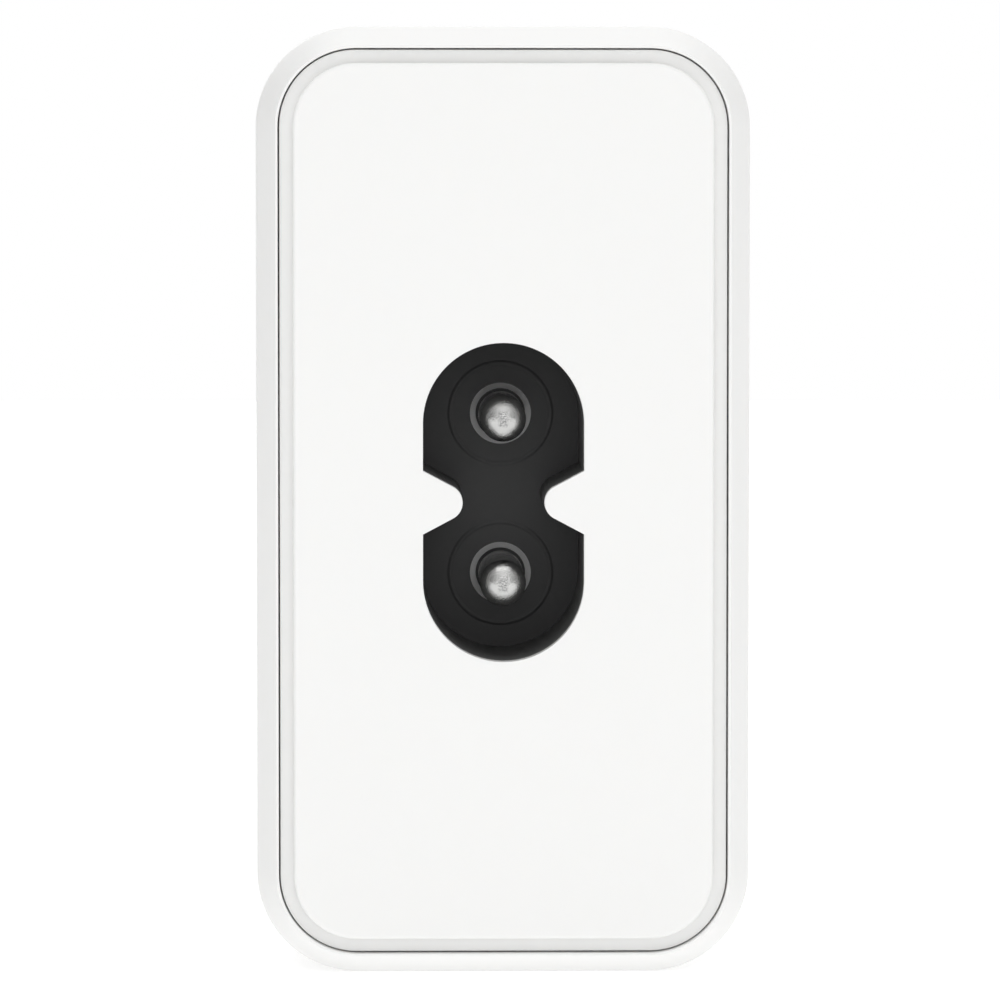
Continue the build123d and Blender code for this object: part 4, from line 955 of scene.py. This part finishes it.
board_laminate = moulded_plastic(
    "green_laminate", (0.035, 0.17, 0.07), 0.35, shade=0.8, grain_scale=1500.0, grain_depth=0.01
)
board_tree = board_laminate.node_tree
board_shader = board_tree.nodes["Principled BSDF"]
tracks = board_tree.nodes.new("ShaderNodeTexVoronoi")
tracks.distance = "CHEBYCHEV"
tracks.inputs["Scale"].default_value = 210.0
track_place = board_tree.nodes.new("ShaderNodeTexCoord")
board_tree.links.new(track_place.outputs["Object"], tracks.inputs["Vector"])
copper_under = smooth_step(board_tree, tracks.outputs["Distance"], 0.52, 0.50)
mask_colour = board_shader.inputs["Base Color"].links[0].from_socket
board_tree.links.new(
    colour_mix(board_tree, copper_under, mask_colour, (0.06, 0.26, 0.10)),
    board_shader.inputs["Base Color"],
)
track_bump = board_tree.nodes.new("ShaderNodeBump")
track_bump.inputs["Strength"].default_value = 0.6
track_bump.inputs["Distance"].default_value = 0.03 * mm
board_tree.links.new(copper_under, track_bump.inputs["Height"])
board_tree.links.new(track_bump.outputs["Normal"], board_shader.inputs["Normal"])

can_sleeve = moulded_plastic(
    "shrink_sleeve", (0.045, 0.05, 0.09), 0.25, shade=0.85, grain_scale=1200.0, grain_depth=0.01
)
can_tree = can_sleeve.node_tree
can_shader = can_tree.nodes["Principled BSDF"]
x, y, z = object_place(can_tree)
bulk_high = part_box("bulk_capacitors")[1]
small_low, small_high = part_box("output_capacitors")
bulk_top = smooth_step(can_tree, y, bulk_high.y - 0.06 * mm, bulk_high.y - 0.03 * mm)
not_small = smooth_step(can_tree, y, small_low.y - 0.5 * mm, small_low.y - 1.5 * mm)
bulk_top = shader_value(can_tree, "MULTIPLY", bulk_top, not_small)
small_top = smooth_step(can_tree, x, small_high.x - 0.06 * mm, small_high.x - 0.03 * mm)
small_top = shader_value(
    can_tree, "MULTIPLY", small_top, smooth_step(can_tree, y, small_low.y - 1.5 * mm, small_low.y - 0.5 * mm)
)
bare_top = shader_value(can_tree, "ADD", bulk_top, small_top, clamp=True)
can_colour = can_shader.inputs["Base Color"].links[0].from_socket
can_tree.links.new(
    colour_mix(can_tree, bare_top, can_colour, (0.66, 0.67, 0.68)), can_shader.inputs["Base Color"]
)
can_tree.links.new(bare_top, can_shader.inputs["Metallic"])

ferrite = moulded_plastic(
    "sintered_ferrite", (0.05, 0.05, 0.053), 0.55, shade=0.75, grain_scale=4000.0, grain_depth=0.02,
    roughness_spread=0.12,
)
part_finishes = {
    "lead_tin": bare_metal("tinned_lead", (0.68, 0.69, 0.70), 0.35, (900.0, 900.0, 900.0), 0.85, 0.004),
    "board_laminate": board_laminate,
    "fuse_body": moulded_plastic(
        "black_fuse_can", (0.045, 0.04, 0.037), 0.4, shade=0.85, grain_scale=4000.0, grain_depth=0.008
    ),
    "varistor_coat": moulded_plastic(
        "blue_epoxy_coat", (0.05, 0.15, 0.42), 0.3, shade=0.85, grain_scale=900.0, grain_depth=0.04
    ),
    "thermistor_coat": moulded_plastic(
        "dark_green_epoxy_coat", (0.07, 0.09, 0.065), 0.45, shade=0.8, grain_scale=900.0, grain_depth=0.04
    ),
    "ceramic_coat": moulded_plastic(
        "light_blue_epoxy_coat", (0.09, 0.27, 0.50), 0.3, shade=0.88, grain_scale=900.0, grain_depth=0.03
    ),
    "film_box": moulded_plastic(
        "yellow_capacitor_box", (0.76, 0.52, 0.09), 0.33, shade=0.93, grain_scale=3500.0, grain_depth=0.006
    ),
    "ferrite": ferrite,
    "ring_coat": moulded_plastic(
        "green_ring_coat", (0.07, 0.22, 0.10), 0.35, shade=0.85, grain_scale=1500.0, grain_depth=0.02
    ),
    "copper_wire": copper_wire,
    "former_plastic": moulded_plastic(
        "black_phenolic", (0.04, 0.038, 0.036), 0.5, shade=0.8, grain_scale=3000.0, grain_depth=0.012
    ),
    "tape_film": moulded_plastic(
        "yellow_polyester_tape", (0.80, 0.60, 0.08), 0.22, shade=0.93, grain_scale=700.0, grain_depth=0.03
    ),
    "package_epoxy": moulded_plastic(
        "moulded_package", (0.035, 0.035, 0.037), 0.55, shade=0.8, grain_scale=6000.0, grain_depth=0.012
    ),
    "opto_body": moulded_plastic(
        "white_package", (0.74, 0.74, 0.71), 0.5, shade=0.93, grain_scale=5000.0, grain_depth=0.01
    ),
    "can_sleeve": can_sleeve,
    "seal_rubber": moulded_plastic(
        "black_rubber", (0.025, 0.025, 0.025), 0.7, shade=0.8, grain_scale=3000.0, grain_depth=0.015
    ),
    "sink_aluminium": bare_metal(
        "rolled_aluminium", (0.70, 0.71, 0.72), 0.38, (5000.0, 150.0, 5000.0), 0.9, 0.006, 0.1
    ),
    "screw_steel": bare_metal(
        "zinc_plated_steel", (0.60, 0.61, 0.63), 0.33, (2500.0, 2500.0, 2500.0), 0.82, 0.004
    ),
    "sheet_film": moulded_plastic(
        "white_film", (0.78, 0.78, 0.76), 0.35, shade=0.96, grain_scale=900.0, grain_depth=0.01
    ),
    "sleeve_plastic": white_plastic,
    "plate_plastic": white_plastic,
    "inlet_plastic": inlet_black,
    "pin_nickel": pin_nickel,
    "jack_plastic": jack_black,
    "jack_shield": shield_nickel,
    "contact_gold": contact_gold,
    "pipe_clear": pipe_clear,
    "led_lens": led_lens,
}
slot_of = {part["node"]: part["material_slot"] for part in frame["record"]["subparts"]}
for name, node in nodes.items():
    node.data.materials.clear()
    node.data.materials.append(part_finishes[slot_of[name]])
